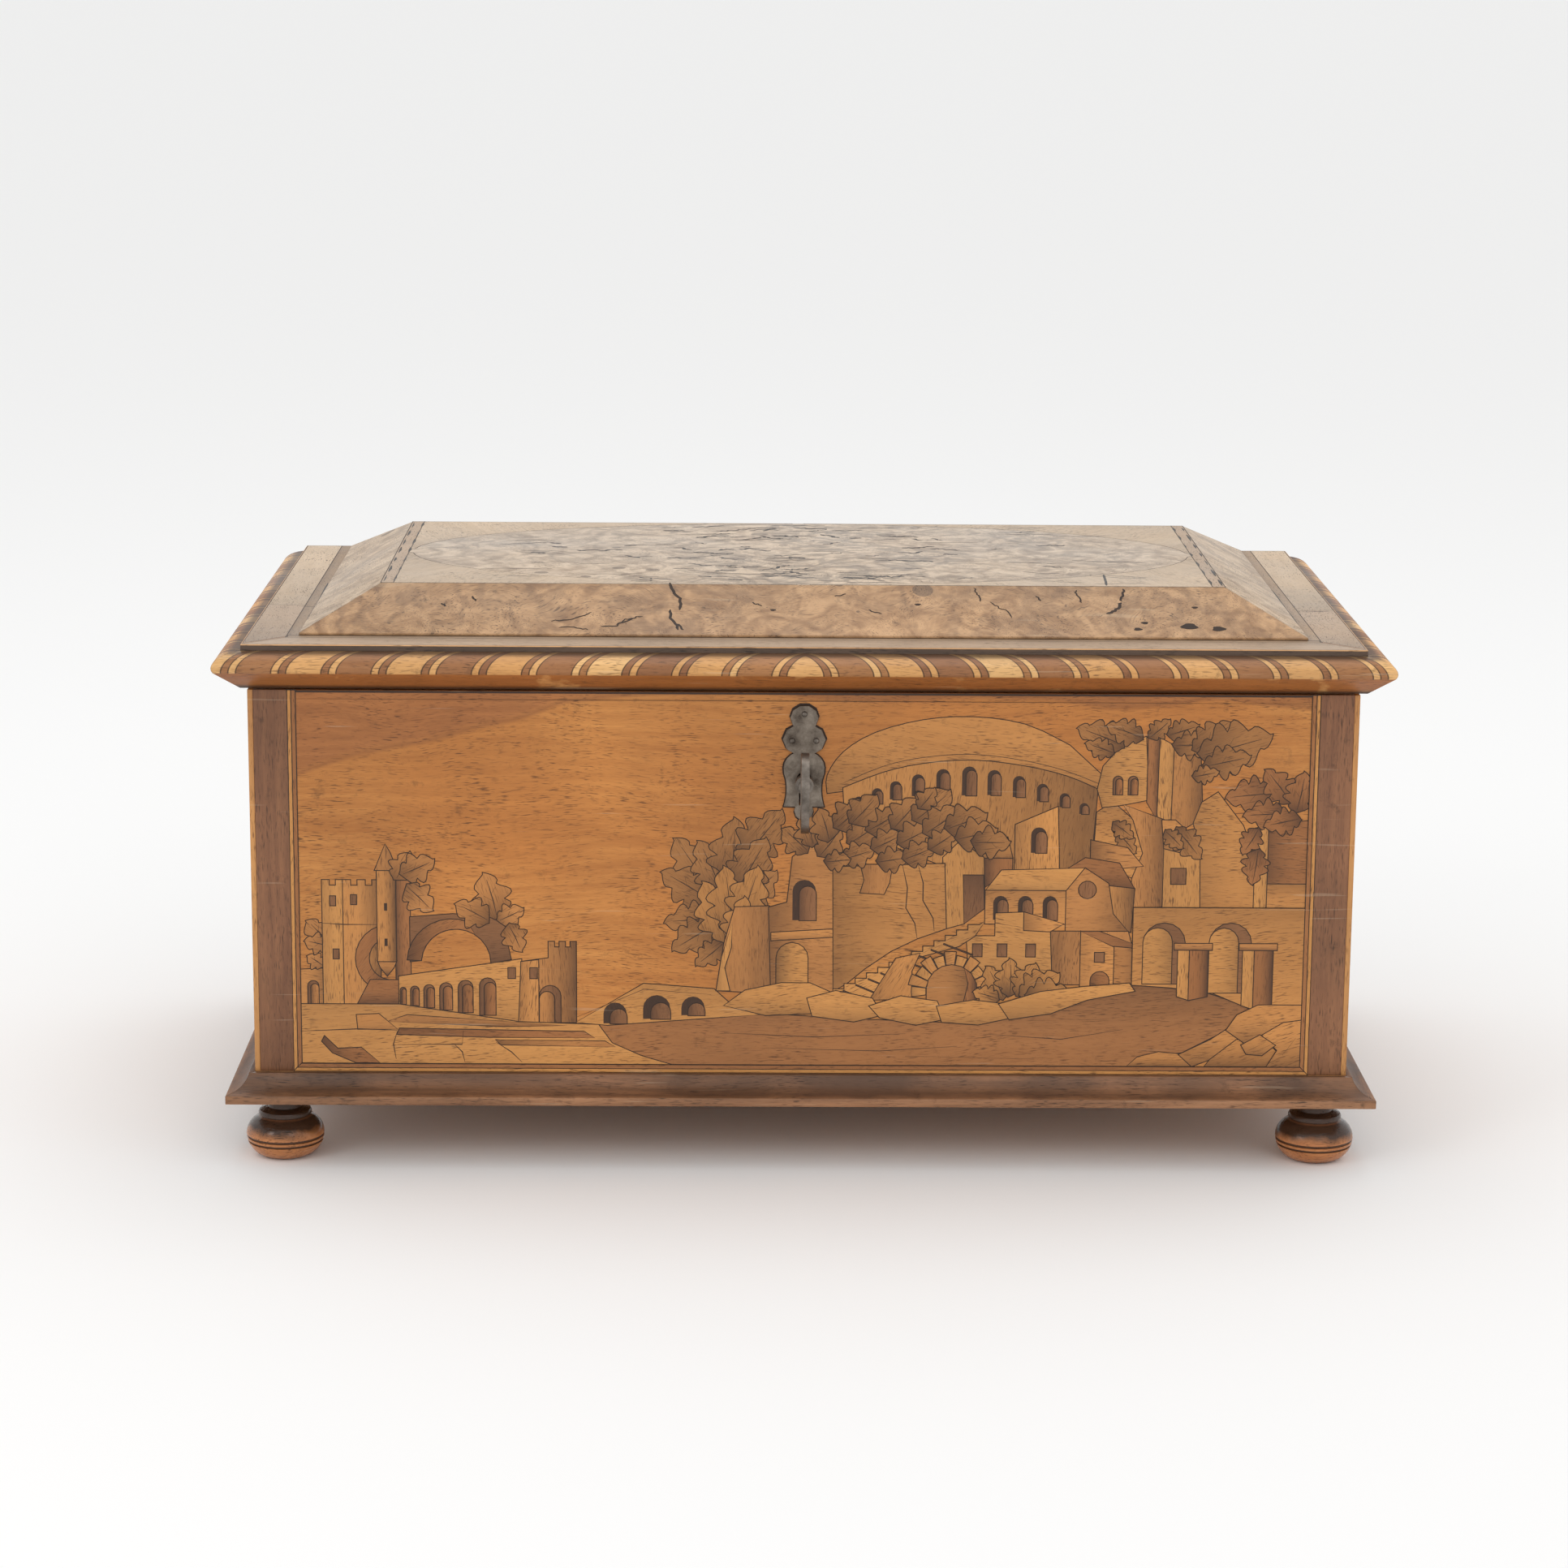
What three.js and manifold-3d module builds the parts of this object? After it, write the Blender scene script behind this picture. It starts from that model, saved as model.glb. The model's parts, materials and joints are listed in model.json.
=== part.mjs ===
// Cylinder music box in a marquetry casket.
// Millimetres, +Z up. +X is the right-hand end, +Y the back, and the key side faces -Y.
// The sizes below are laid out from the casket's front face (y = 0) and from the ground (z = 0);
// the last lines move the whole box so that its origin is the middle of its footprint.
import * as THREE from "three";
import { mergeVertices } from "three/addons/utils/BufferGeometryUtils.js";
import { ConvexGeometry } from "three/addons/geometries/ConvexGeometry.js";
import Module from "manifold-3d";

const wasm = await Module();
wasm.setup();

// ---------------------------------------------------------------- driving dimensions
const GLUE = 0.05; // glue line left between two faces that meet
const RUN = 0.15; // radial running clearance of a shaft in its bore

// casket
const CASE_W = 422;
const CASE_D = 236;
const WALL_H = 150;
const BOARD = 9; // softwood carcase board
const VENEER = 2; // sawn veneer
const STILE_W = 13; // walnut stile at each end of the front
const FOOT_H = 25.7;
const FOOT_R = 15.1;
const FOOT_INSET = 10.1; // foot centre from the casket's faces
const FOOT_BELLY = 8.7; // height of the bun's widest line
const FOOT_SHOULDER = 15.9; // height where the bun meets its collar
const FOOT_COLLAR = { r: 10.3, h: 2.6 };
const FOOT_NECK_R = 6.6;
const PLINTH_H = 10.5;
const PLINTH_OUT = 10.5;
const PLINTH_FILLET = 3.2;
const PLINTH_BEAD = 2.3; // what the moulding still stands out at its top
const PLINTH_GAP = 0.2; // moulding's top below the case floor

// lid
const LID_GAP = 1;
const LID_LIP = 2; // lid board past the case
const LID_BOARD = 16.7;
const NOSE_OUT = 10; // half-round nosing past the lid board
const NOSE_R = 5.2;
const NOSE_DROP = 2.3; // nosing top below the lid board's top
const NOSE_TURN = 21; // degrees that the half-round turns under
const NOSE_QUIRK = { out: 0.4, up: 0.1 }; // foot of the chamfer below the half-round
const BAND = 20; // flat band round the raised coffer
const BAND_BACK = 6;
const COFFER_LIP = 1;
const COFFER_RUN = 29; // plan width of a sloping side
const COFFER_RUN_BACK = 26;
const COFFER_RISE = 14.7;
const TOP_BOARD = 4;

// hinges
const HINGE_X = 130;
const HINGE_W = 40;
const LEAF = 1.5;
const LEAF_H = 30;
const LEAF_LID_H = 14;
const KNUCKLE_R = 3;
const KNUCKLE_MID = 13.4; // length of the lid leaf's knuckle
const PIN_R = 1.3;
const KNUCKLE_GAP = 0.2; // hinge knuckle to the back face
const KNUCKLE_END = 0.3; // between one knuckle and the next
const LEAF_CLEAR = { case: 0.4, lid: 0.6 }; // leaves to the knuckle's top and bottom

// lock and key
const PLATE = 1.2; // escutcheon and lock case sheet
const PLATE_TOP = 4.7; // escutcheon top below the rim
const KEY_DROP = 33.5; // key axis below the rim
const KEY_R = 2.2;
const KEY_HOLE_GAP = 0.6;
const BIT_W = 2.4;
const BIT_REACH = 9.5;
const BIT_Y = [13, 20];
const BOW_Y = -25.3;
const BOW_HALF_H = 15.3;
const BOW_HALF_D = 13.5;
const BOW_RIM = 4;
const BOW_T = 3;
const KEY_COLLAR = { out: 1.3, from: 2, to: 6 }; // past the shank, and from the bow
const LOCK_W = 60;
const LOCK_D = 13;
const LOCK_H = 53;
const LOCK_DROP = 1; // lock case below the rim
const LOCK_SLOT = 0.8; // staple to the slot in the lock case
const BOLT = { x0: -24, length: 28, thick: 4, height: 7, drop: 16 };
const BOLT_TAIL = { length: 18, clear: 0.6 }; // body of the bolt, just above the key bit's sweep
const STAPLE = { x0: 6, thick: 3, width: 8, wall: 1.5, drop: 21, eye: 10, plate: 0.8, lap: 14 };

// movement
const BED_UP = 30; // top of the bedplate above the case floor
const BED_T = 5;
const BED_PAST = { left: 4, right: 24, front: 4, back: 66 }; // past partition, worm, comb and cylinder axis
const PILLAR_R = 7;
const PILLAR_INSET = 5; // bedplate edge to the pillars
const PARTITION_GAP = 16; // partition to the spring barrel
const PARTITION_T = 6;
const PARTITION_H = 118;
const PARTITION_HOLE = 2; // round the barrel arbor
const CYL_R = 26.5;
const CYL_RIGHT = 30; // cylinder's middle to the right of the case's middle
const CYL_L = 200;
const CYL_WALL = 3;
const CYL_CAP = 5;
const CYL_BACK = 11; // cylinder axis behind the middle of the case's inside
const CYL_UP = 35; // cylinder axis above the bedplate
const CYL_SHIFT = 3;
const ARBOR_R = 3;
const COCK = { thick: 5, half: 8, gap: 8 }; // arbor bearing, and the cylinder to the left one
const COCK_RIGHT = { thick: 4, gap: 6 }; // great wheel to the right one
const BRACKET = { half: 10, gap: 3 }; // barrel bearing, and the drum to it
const GREAT_GAP = 6; // cylinder to the great wheel, with room for its shift
const SNAIL = { r: 12, gap: 0.4 }; // snail on the great wheel, and the shifted cylinder to it
const COMB_TEETH = 60;
const COMB_SLIT = 0.6;
const COMB_T = 3;
const COMB_BACK = 20; // solid part of the comb
const COMB_END = 1; // comb shorter than the cylinder at each end
const RISER_BACK = 2; // riser stops short of the teeth's roots
const COMB_TOOTH = 38.7; // free length of a tooth
const TIP_GAP = 0.8; // comb tips to the cylinder
const DRIVE = { module: 1, barrel: 52, pinion: 14, width: 6 };
const TRAIN = { module: 0.8, great: 60, pinion: 12, width: 4 };
const WORM = { module: 0.6, wheel: 40, radius: 2.4, width: 2, turns: 5 };
const BARREL_DY = 32; // barrel axis behind the cylinder axis
const BARREL_L = 36; // drum, with its gear on the right
const BARREL_GAP = 22; // drum to the cylinder
const DRUM_LAP = 0.2; // drum runs into its gear
const BARREL_R = 24;
const BARREL_WALL = 2;
const BARREL_ARBOR_R = 4;
const COVER_T = 1.5;
const SPRING = { turns: 5, strip: 0.7, fromArbor: 2.4, fromDrum: 1.4, ends: 2 };
const GOV_DROP = 10; // governor arbor below the cylinder axis
const WORM_GAP = 12; // worm wheel to the great wheel
const FLY_R = 11;
const FLY_H = 15;
const RATCHET = { teeth: 24, r: 14, depth: 1.8, thick: 4, gap: 6 }; // gap to the partition
const LEVER_L = 68;
const LEVER_T = 6;
const LEVER_GAP = 2; // winding lever to its ratchet wheel
const START_RIGHT = 17; // stop lever's stud to the right of the worm
const CHANGE_STUD = { right: 6, back: 26 }; // change lever's stud from the great wheel and the comb
const KNOB_GAP = 17; // both small levers end in a knob at this distance behind the front board
const CHANGE_TAIL = 30; // change lever behind its stud
const CATCH_R = 2.5; // upright on the stop lever, beside the fly
const STUD_R = 2.5;
const STUD_H = 6; // studs above the bedplate
const SMALL_LEVER = { half: 3.5, thick: 3, lift: 0.4, hub: 6, knob: 4, knobH: 5 };
const LEVER = { hub: 9, half: 4, handle: 5, handleL: 18 }; // winding lever's hub, arm and hand piece
const PLATES = { left: [8, 5], right: [6, 9], half: 7, over: 8 }; // governor plates from the worm
const POST = { gap: 2.5, depth: 5, half: 4 }; // post behind the fly, which holds its top pivot
const FLY_UP = { blade: 14, top: 38 }; // blade's foot and upper pivot above the governor arbor
const FRAME_FOOT = 4; // thickness of the governor frame's foot

// ---------------------------------------------------------------- derived places
const halfW = CASE_W / 2;
const floorZ = FOOT_H + PLINTH_H;
const rimZ = floorZ + WALL_H;
const inX = halfW - VENEER - BOARD;
const inFront = VENEER + BOARD;
const inBack = CASE_D - BOARD;
const lidZ = rimZ + LID_GAP;
const bandZ = lidZ + LID_BOARD;
const keyZ = rimZ - KEY_DROP;
const pinY = CASE_D + KNUCKLE_R + KNUCKLE_GAP;
const pinZ = rimZ + LID_GAP / 2;
const pitch = (gear, teeth) => (gear.module * teeth) / 2;
const bedZ = floorZ + BED_UP;
const cylX0 = CYL_RIGHT - CYL_L / 2;
const cylY = (inFront + inBack) / 2 + CYL_BACK;
const cylZ = bedZ + CYL_UP;
const combTips = cylY - CYL_R - TIP_GAP;
const combY0 = combTips - COMB_TOOTH - COMB_BACK;
const barrelX = [cylX0 - BARREL_GAP - BARREL_L, cylX0 - BARREL_GAP];
const leftCock = [cylX0 - COCK.gap - COCK.thick, cylX0 - COCK.gap];
const partitionX = barrelX[0] - PARTITION_GAP - PARTITION_T;
const ratchetX = [partitionX - RATCHET.gap - RATCHET.thick, partitionX - RATCHET.gap];
const leverX = [ratchetX[0] - LEVER_GAP - LEVER_T, ratchetX[0] - LEVER_GAP];
const greatX = [cylX0 + CYL_L + GREAT_GAP, cylX0 + CYL_L + GREAT_GAP + TRAIN.width];
const rightCock = [greatX[1] + COCK_RIGHT.gap, greatX[1] + COCK_RIGHT.gap + COCK_RIGHT.thick];
const wormX = greatX[1] + WORM_GAP;
const bedX = [partitionX + PARTITION_T + BED_PAST.left, wormX + BED_PAST.right];
const bedY = [combY0 - BED_PAST.front, cylY + BED_PAST.back];
const startPivot = [wormX + START_RIGHT, cylY];
const changePivot = [greatX[1] + CHANGE_STUD.right, combY0 + CHANGE_STUD.back];
const knobY = inFront + KNOB_GAP;
const barrelY = cylY + BARREL_DY;
const barrelZ =
  cylZ + Math.sqrt((pitch(DRIVE, DRIVE.barrel) + pitch(DRIVE, DRIVE.pinion)) ** 2 - BARREL_DY ** 2);
const govReach = pitch(TRAIN, TRAIN.great) + pitch(TRAIN, TRAIN.pinion);
const govY = cylY + Math.sqrt(govReach ** 2 - GOV_DROP ** 2);
const govZ = cylZ - GOV_DROP;
const flyY = govY + pitch(WORM, WORM.wheel) + WORM.radius;
const frontMost = -(BOW_HALF_D - BOW_Y);
const backMost = CASE_D + PLINTH_OUT;

// ---------------------------------------------------------------- materials
const finish = (color, roughness, metalness = 0) =>
  new THREE.MeshStandardMaterial({ color, roughness, metalness });
const fruitwood = finish(0xb9783f, 0.5);
const walnut = finish(0x6b4f39, 0.55);
const burr = finish(0x9c7f60, 0.55);
const pine = finish(0xa8733f, 0.65);
const iron = finish(0x5a5650, 0.55, 0.9);
const steel = finish(0x9a9da0, 0.35, 1);
const brass = finish(0xb08d3e, 0.35, 1);

// ---------------------------------------------------------------- solids
function solidOf(geometry) {
  const bare = (geometry.index ? geometry.toNonIndexed() : geometry.clone())
    .deleteAttribute("normal")
    .deleteAttribute("uv");
  const merged = mergeVertices(bare, 1e-4);
  return new wasm.Manifold(
    new wasm.Mesh({
      numProp: 3,
      vertProperties: merged.attributes.position.array,
      triVerts: new Uint32Array(merged.index.array),
    }),
  );
}

function geometryOf(solid) {
  const mesh = solid.getMesh();
  return new THREE.BufferGeometry()
    .setAttribute("position", new THREE.BufferAttribute(new Float32Array(mesh.vertProperties), 3))
    .setIndex(new THREE.BufferAttribute(new Uint32Array(mesh.triVerts), 1));
}

const join = (...pieces) => geometryOf(pieces.map(solidOf).reduce((a, b) => a.add(b)));
const cut = (piece, ...tools) =>
  geometryOf(tools.map(solidOf).reduce((a, b) => a.subtract(b), solidOf(piece)));

// A box from its low and high corner along each axis.
function box([x0, x1], [y0, y1], [z0, z1]) {
  return new THREE.BoxGeometry(x1 - x0, y1 - y0, z1 - z0).translate(
    (x0 + x1) / 2,
    (y0 + y1) / 2,
    (z0 + z1) / 2,
  );
}

// Round rods along each axis, from a to b.
const rod = (r, length, sides) => new THREE.CylinderGeometry(r, r, length, sides);
const rodX = (r, [a, b], y, z, sides = 24) =>
  rod(r, b - a, sides).rotateZ(-Math.PI / 2).translate((a + b) / 2, y, z);
const rodY = (r, [a, b], x, z, sides = 24) => rod(r, b - a, sides).translate(x, (a + b) / 2, z);
const rodZ = (r, [a, b], x, y, sides = 24) =>
  rod(r, b - a, sides).rotateX(Math.PI / 2).translate(x, y, (a + b) / 2);

const outline = (points) => new THREE.Shape(points.map(([x, y]) => new THREE.Vector2(x, y)));
const slab = (shape, depth, curveSegments = 12) =>
  new THREE.ExtrudeGeometry(shape, { depth, bevelEnabled: false, curveSegments });

// A flat outline drawn in (y, z), given a thickness along X.
const plateX = (shape, [x0, x1], segments) =>
  slab(shape, x1 - x0, segments).rotateX(Math.PI / 2).rotateZ(Math.PI / 2).translate(x0, 0, 0);
// A flat outline drawn in (x, z), given a thickness along Y.
const plateY = (shape, [y0, y1], segments) =>
  slab(shape, y1 - y0, segments).rotateX(Math.PI / 2).translate(0, y1, 0);

// Turns the faces of a remapped solid outwards again.
function facingOut(geometry) {
  const g = geometry.index ? geometry.toNonIndexed() : geometry;
  const p = g.attributes.position.array;
  const a = new THREE.Vector3();
  const b = new THREE.Vector3();
  const c = new THREE.Vector3();
  let volume = 0;
  for (let i = 0; i < p.length; i += 9) {
    a.fromArray(p, i);
    b.fromArray(p, i + 3);
    c.fromArray(p, i + 6);
    volume += a.dot(b.cross(c));
  }
  if (volume < 0)
    for (let i = 0; i < p.length; i += 9)
      for (let k = 0; k < 3; k++) [p[i + k], p[i + 3 + k]] = [p[i + 3 + k], p[i + k]];
  return g;
}

// Sweeps a profile of [out, up] points along one side of the casket, mitred where two sides meet.
// "out" is measured from the casket's face, and back false leaves the side pieces square at the back.
function moulding(profile, side, zBase, back) {
  const g = slab(outline(profile), 1);
  const p = g.attributes.position;
  const end = (o) => o - GLUE;
  for (let i = 0; i < p.count; i++) {
    const [o, up, t] = [p.getX(i), p.getY(i), p.getZ(i)];
    const along = (low, high) => low + (high - low) * t;
    const x = along(-(halfW + end(o)), halfW + end(o));
    const y = along(-end(o), back ? CASE_D + end(o) : CASE_D);
    if (side === "front") p.setXYZ(i, x, -o, zBase + up);
    if (side === "back") p.setXYZ(i, x, CASE_D + o, zBase + up);
    if (side === "left") p.setXYZ(i, -(halfW + o), y, zBase + up);
    if (side === "right") p.setXYZ(i, halfW + o, y, zBase + up);
  }
  return facingOut(g);
}

// Turned work: a profile of [radius, height] points spun about a vertical axis.
const turned = (profile, sides) =>
  facingOut(
    new THREE.LatheGeometry(profile.map(([r, z]) => new THREE.Vector2(r, z)), sides).rotateX(Math.PI / 2),
  );

// A spur gear's outline about the origin. The first tooth is centred on angle "from".
function gearShape(module, teeth, from) {
  const r = (module * teeth) / 2;
  const step = (2 * Math.PI) / teeth;
  const [tip, root] = [r + 0.8 * module, r - 1.15 * module];
  const [tipHalf, rootHalf] = [step * 0.11, step * 0.25];
  const points = [];
  for (let i = 0; i < teeth; i++)
    for (const [radius, turn] of [[root, -rootHalf], [tip, -tipHalf], [tip, tipHalf], [root, rootHalf]]) {
      const a = from + i * step + turn;
      points.push([radius * Math.cos(a), radius * Math.sin(a)]);
    }
  return outline(points);
}

// A gear on a shaft along X. The outline's angle 0 points to +Y and 90 degrees to +Z.
const gearX = (module, teeth, from, [x0, x1], y, z) =>
  plateX(gearShape(module, teeth, from), [x0, x1]).translate(0, y, z);

// ---------------------------------------------------------------- assembly
const casket = new THREE.Group();
function add(name, geometry, material) {
  const mesh = new THREE.Mesh(geometry, material);
  mesh.name = name;
  casket.add(mesh);
}

// Keyhole: a round for the shank and a slot below it for the bit.
function keyhole([y0, y1]) {
  const slotHalf = BIT_W / 2 + KEY_HOLE_GAP;
  return join(
    rodY(KEY_R + KEY_HOLE_GAP, [y0, y1], 0, keyZ),
    box([-slotHalf, slotHalf], [y0, y1], [keyZ - BIT_REACH - KEY_HOLE_GAP, keyZ]),
  );
}

// -- carcase: five softwood boards, butted
{
  const wallX = halfW - VENEER - GLUE;
  const walls = [floorZ, rimZ];
  add("bottom_board", box([-halfW, halfW], [0, CASE_D], [FOOT_H, floorZ - GLUE]), pine);
  add(
    "front_board",
    cut(box([-wallX, wallX], [VENEER + GLUE, inFront], walls), keyhole([0, inFront + 1])),
    pine,
  );
  add("back_board", box([-wallX, wallX], [inBack, CASE_D], walls), walnut);
  for (const [name, s] of [["left", -1], ["right", 1]]) {
    const across = [s * inX, s * wallX].sort((a, b) => a - b);
    add(name + "_board", box(across, [inFront + GLUE, inBack - GLUE], walls), pine);
  }
}

// -- veneers: marquetry panels on three sides, walnut stiles at the front corners
{
  const edge = halfW - VENEER;
  const panelHalf = edge - STILE_W;
  const walls = [floorZ, rimZ];
  add(
    "front_marquetry_panel",
    cut(box([-panelHalf, panelHalf], [0, VENEER], walls), keyhole([-1, VENEER + 1])),
    fruitwood,
  );
  add("stile_front_left", box([-edge + GLUE, -panelHalf - GLUE], [0, VENEER], walls), walnut);
  add("stile_front_right", box([panelHalf + GLUE, edge - GLUE], [0, VENEER], walls), walnut);
  add("left_marquetry_panel", box([-halfW, -edge], [0, CASE_D], walls), fruitwood);
  add("right_marquetry_panel", box([edge, halfW], [0, CASE_D], walls), fruitwood);
}

// -- plinth moulding: fillet, hollow and a small bead under the panels
{
  const top = PLINTH_H - PLINTH_GAP;
  const hollow = new THREE.CubicBezierCurve(
    new THREE.Vector2(PLINTH_OUT - 0.4, PLINTH_FILLET + 0.2),
    new THREE.Vector2(PLINTH_OUT * 0.62, PLINTH_FILLET + 0.9),
    new THREE.Vector2(PLINTH_OUT * 0.36, PLINTH_H * 0.55),
    new THREE.Vector2(PLINTH_BEAD, top - 0.6),
  );
  const profile = [
    [GLUE, 0],
    [PLINTH_OUT, 0],
    [PLINTH_OUT, PLINTH_FILLET],
    ...hollow.getPoints(7).map((p) => [p.x, p.y]),
    [PLINTH_BEAD, top],
    [GLUE, top],
  ];
  for (const side of ["front", "back", "left", "right"])
    add("plinth_" + side, moulding(profile, side, FOOT_H, true), walnut);
}

// -- bun feet, turned: a flattened bun, a collar on its shoulder and a neck up into the bottom board
{
  const shoulderR = FOOT_COLLAR.r * 0.96;
  const collarTop = FOOT_SHOULDER + FOOT_COLLAR.h;
  const rise = FOOT_SHOULDER - FOOT_BELLY;
  const profile = [
    [0, 0],
    [FOOT_R * 0.46, 0],
    [FOOT_R * 0.66, FOOT_BELLY * 0.1],
    [FOOT_R * 0.85, FOOT_BELLY * 0.36],
    [FOOT_R * 0.96, FOOT_BELLY * 0.67],
    [FOOT_R, FOOT_BELLY],
    [FOOT_R * 0.96, FOOT_BELLY + rise * 0.4],
    [FOOT_R * 0.84, FOOT_BELLY + rise * 0.75],
    [shoulderR, FOOT_SHOULDER],
    [FOOT_COLLAR.r, FOOT_SHOULDER + FOOT_COLLAR.h / 2],
    [shoulderR, collarTop - 0.2],
    [FOOT_NECK_R, collarTop + 1],
    [FOOT_NECK_R, FOOT_H - GLUE],
    [0, FOOT_H - GLUE],
  ];
  for (const [row, y] of [["front", FOOT_INSET], ["back", CASE_D - FOOT_INSET]])
    for (const [side, s] of [["left", -1], ["right", 1]])
      add(
        "foot_" + row + "_" + side,
        turned(profile, 20).translate(s * (halfW - FOOT_INSET), y, 0),
        walnut,
      );
}

// -- lid: board, nosing on three sides, four sloping sides and a flat top
const boardHalf = halfW + LID_LIP;
const cofferBase = {
  x: boardHalf - BAND,
  front: -LID_LIP + BAND,
  back: CASE_D - BAND_BACK,
};
const cofferTop = {
  x: cofferBase.x - COFFER_RUN,
  front: cofferBase.front + COFFER_RUN,
  back: cofferBase.back - COFFER_RUN_BACK,
};
const lipZ = bandZ + COFFER_LIP;
const topZ = lipZ + COFFER_RISE;
add(
  "lid_board",
  box([-boardHalf, boardHalf], [-LID_LIP, CASE_D], [lidZ, bandZ]),
  walnut,
);
{
  const centre = { out: LID_LIP, up: LID_BOARD - NOSE_DROP - NOSE_R };
  const arc = Array.from({ length: 11 }, (_, i) => {
    const a = ((90 - ((90 + NOSE_TURN) * i) / 10) * Math.PI) / 180;
    return [centre.out + GLUE + NOSE_OUT * Math.cos(a), centre.up + NOSE_R * Math.sin(a)];
  });
  const { out, up } = NOSE_QUIRK;
  const profile = [[LID_LIP + GLUE, up], [LID_LIP + out, up], ...arc.reverse()];
  for (const side of ["front", "left", "right"])
    add("lid_nosing_" + side, moulding(profile, side, lidZ, false), walnut);
}
{
  // Each sloping side is a wedge between its base edge and its top edge, mitred on the hips.
  const wedge = ([bx0, bx1, by0, by1], [tx0, tx1, ty0, ty1]) =>
    new ConvexGeometry(
      [
        [bx0, by0, bandZ + GLUE],
        [bx1, by1, bandZ + GLUE],
        [bx0, by0, lipZ],
        [bx1, by1, lipZ],
        [tx0, ty0, bandZ + GLUE],
        [tx1, ty1, bandZ + GLUE],
        [tx0, ty0, topZ],
        [tx1, ty1, topZ],
      ].map((p) => new THREE.Vector3(...p)),
    );
  const [bx, bf, bb] = [cofferBase.x, cofferBase.front, cofferBase.back];
  const [tx, tf, tb] = [cofferTop.x, cofferTop.front, cofferTop.back];
  const g = GLUE;
  add("lid_slope_front", wedge([g - bx, bx - g, bf, bf], [g - tx, tx - g, tf, tf]), burr);
  add("lid_slope_back", wedge([g - bx, bx - g, bb, bb], [g - tx, tx - g, tb, tb]), burr);
  add("lid_slope_left", wedge([-bx, -bx, bf + g, bb - g], [-tx, -tx, tf + g, tb - g]), burr);
  add("lid_slope_right", wedge([bx, bx, bf + g, bb - g], [tx, tx, tf + g, tb - g]), burr);
  add("lid_top_panel", box([g - tx, tx - g], [tf + g, tb - g], [topZ - TOP_BOARD, topZ]), burr);
}

// -- hinges: surface leaves on the back; the case leaf carries the pin
for (const [side, cx] of [["left", -HINGE_X], ["right", HINGE_X]]) {
  const w = HINGE_W / 2;
  const mid = KNUCKLE_MID / 2;
  const [y0, y1] = [CASE_D + GLUE, CASE_D + GLUE + LEAF];
  const ends = [[-w, -mid - KNUCKLE_END], [mid + KNUCKLE_END, w]].map((span) => span.map((x) => x + cx));
  const across = [cx - w, cx + w];
  add(
    "hinge_case_leaf_" + side,
    join(
      box(across, [y0, y1], [rimZ - LEAF_H, pinZ - KNUCKLE_R - LEAF_CLEAR.case]),
      ...ends.map((span) => box(span, [y0, y1], [rimZ - LEAF_H / 2, pinZ])),
      ...ends.map((span) => rodX(KNUCKLE_R, span, pinY, pinZ, 16)),
      rodX(PIN_R, across, pinY, pinZ, 12),
    ),
    iron,
  );
  const middle = [cx - mid, cx + mid];
  add(
    "hinge_lid_leaf_" + side,
    cut(
      join(
        box(across, [y0, y1], [pinZ + KNUCKLE_R + LEAF_CLEAR.lid, lidZ + LEAF_LID_H]),
        box(middle, [y0, y1], [pinZ, lidZ + LEAF_LID_H / 2]),
        rodX(KNUCKLE_R, middle, pinY, pinZ, 16),
      ),
      rodX(PIN_R + RUN, [cx - w, cx + w], pinY, pinZ, 12),
    ),
    iron,
  );
}

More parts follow.
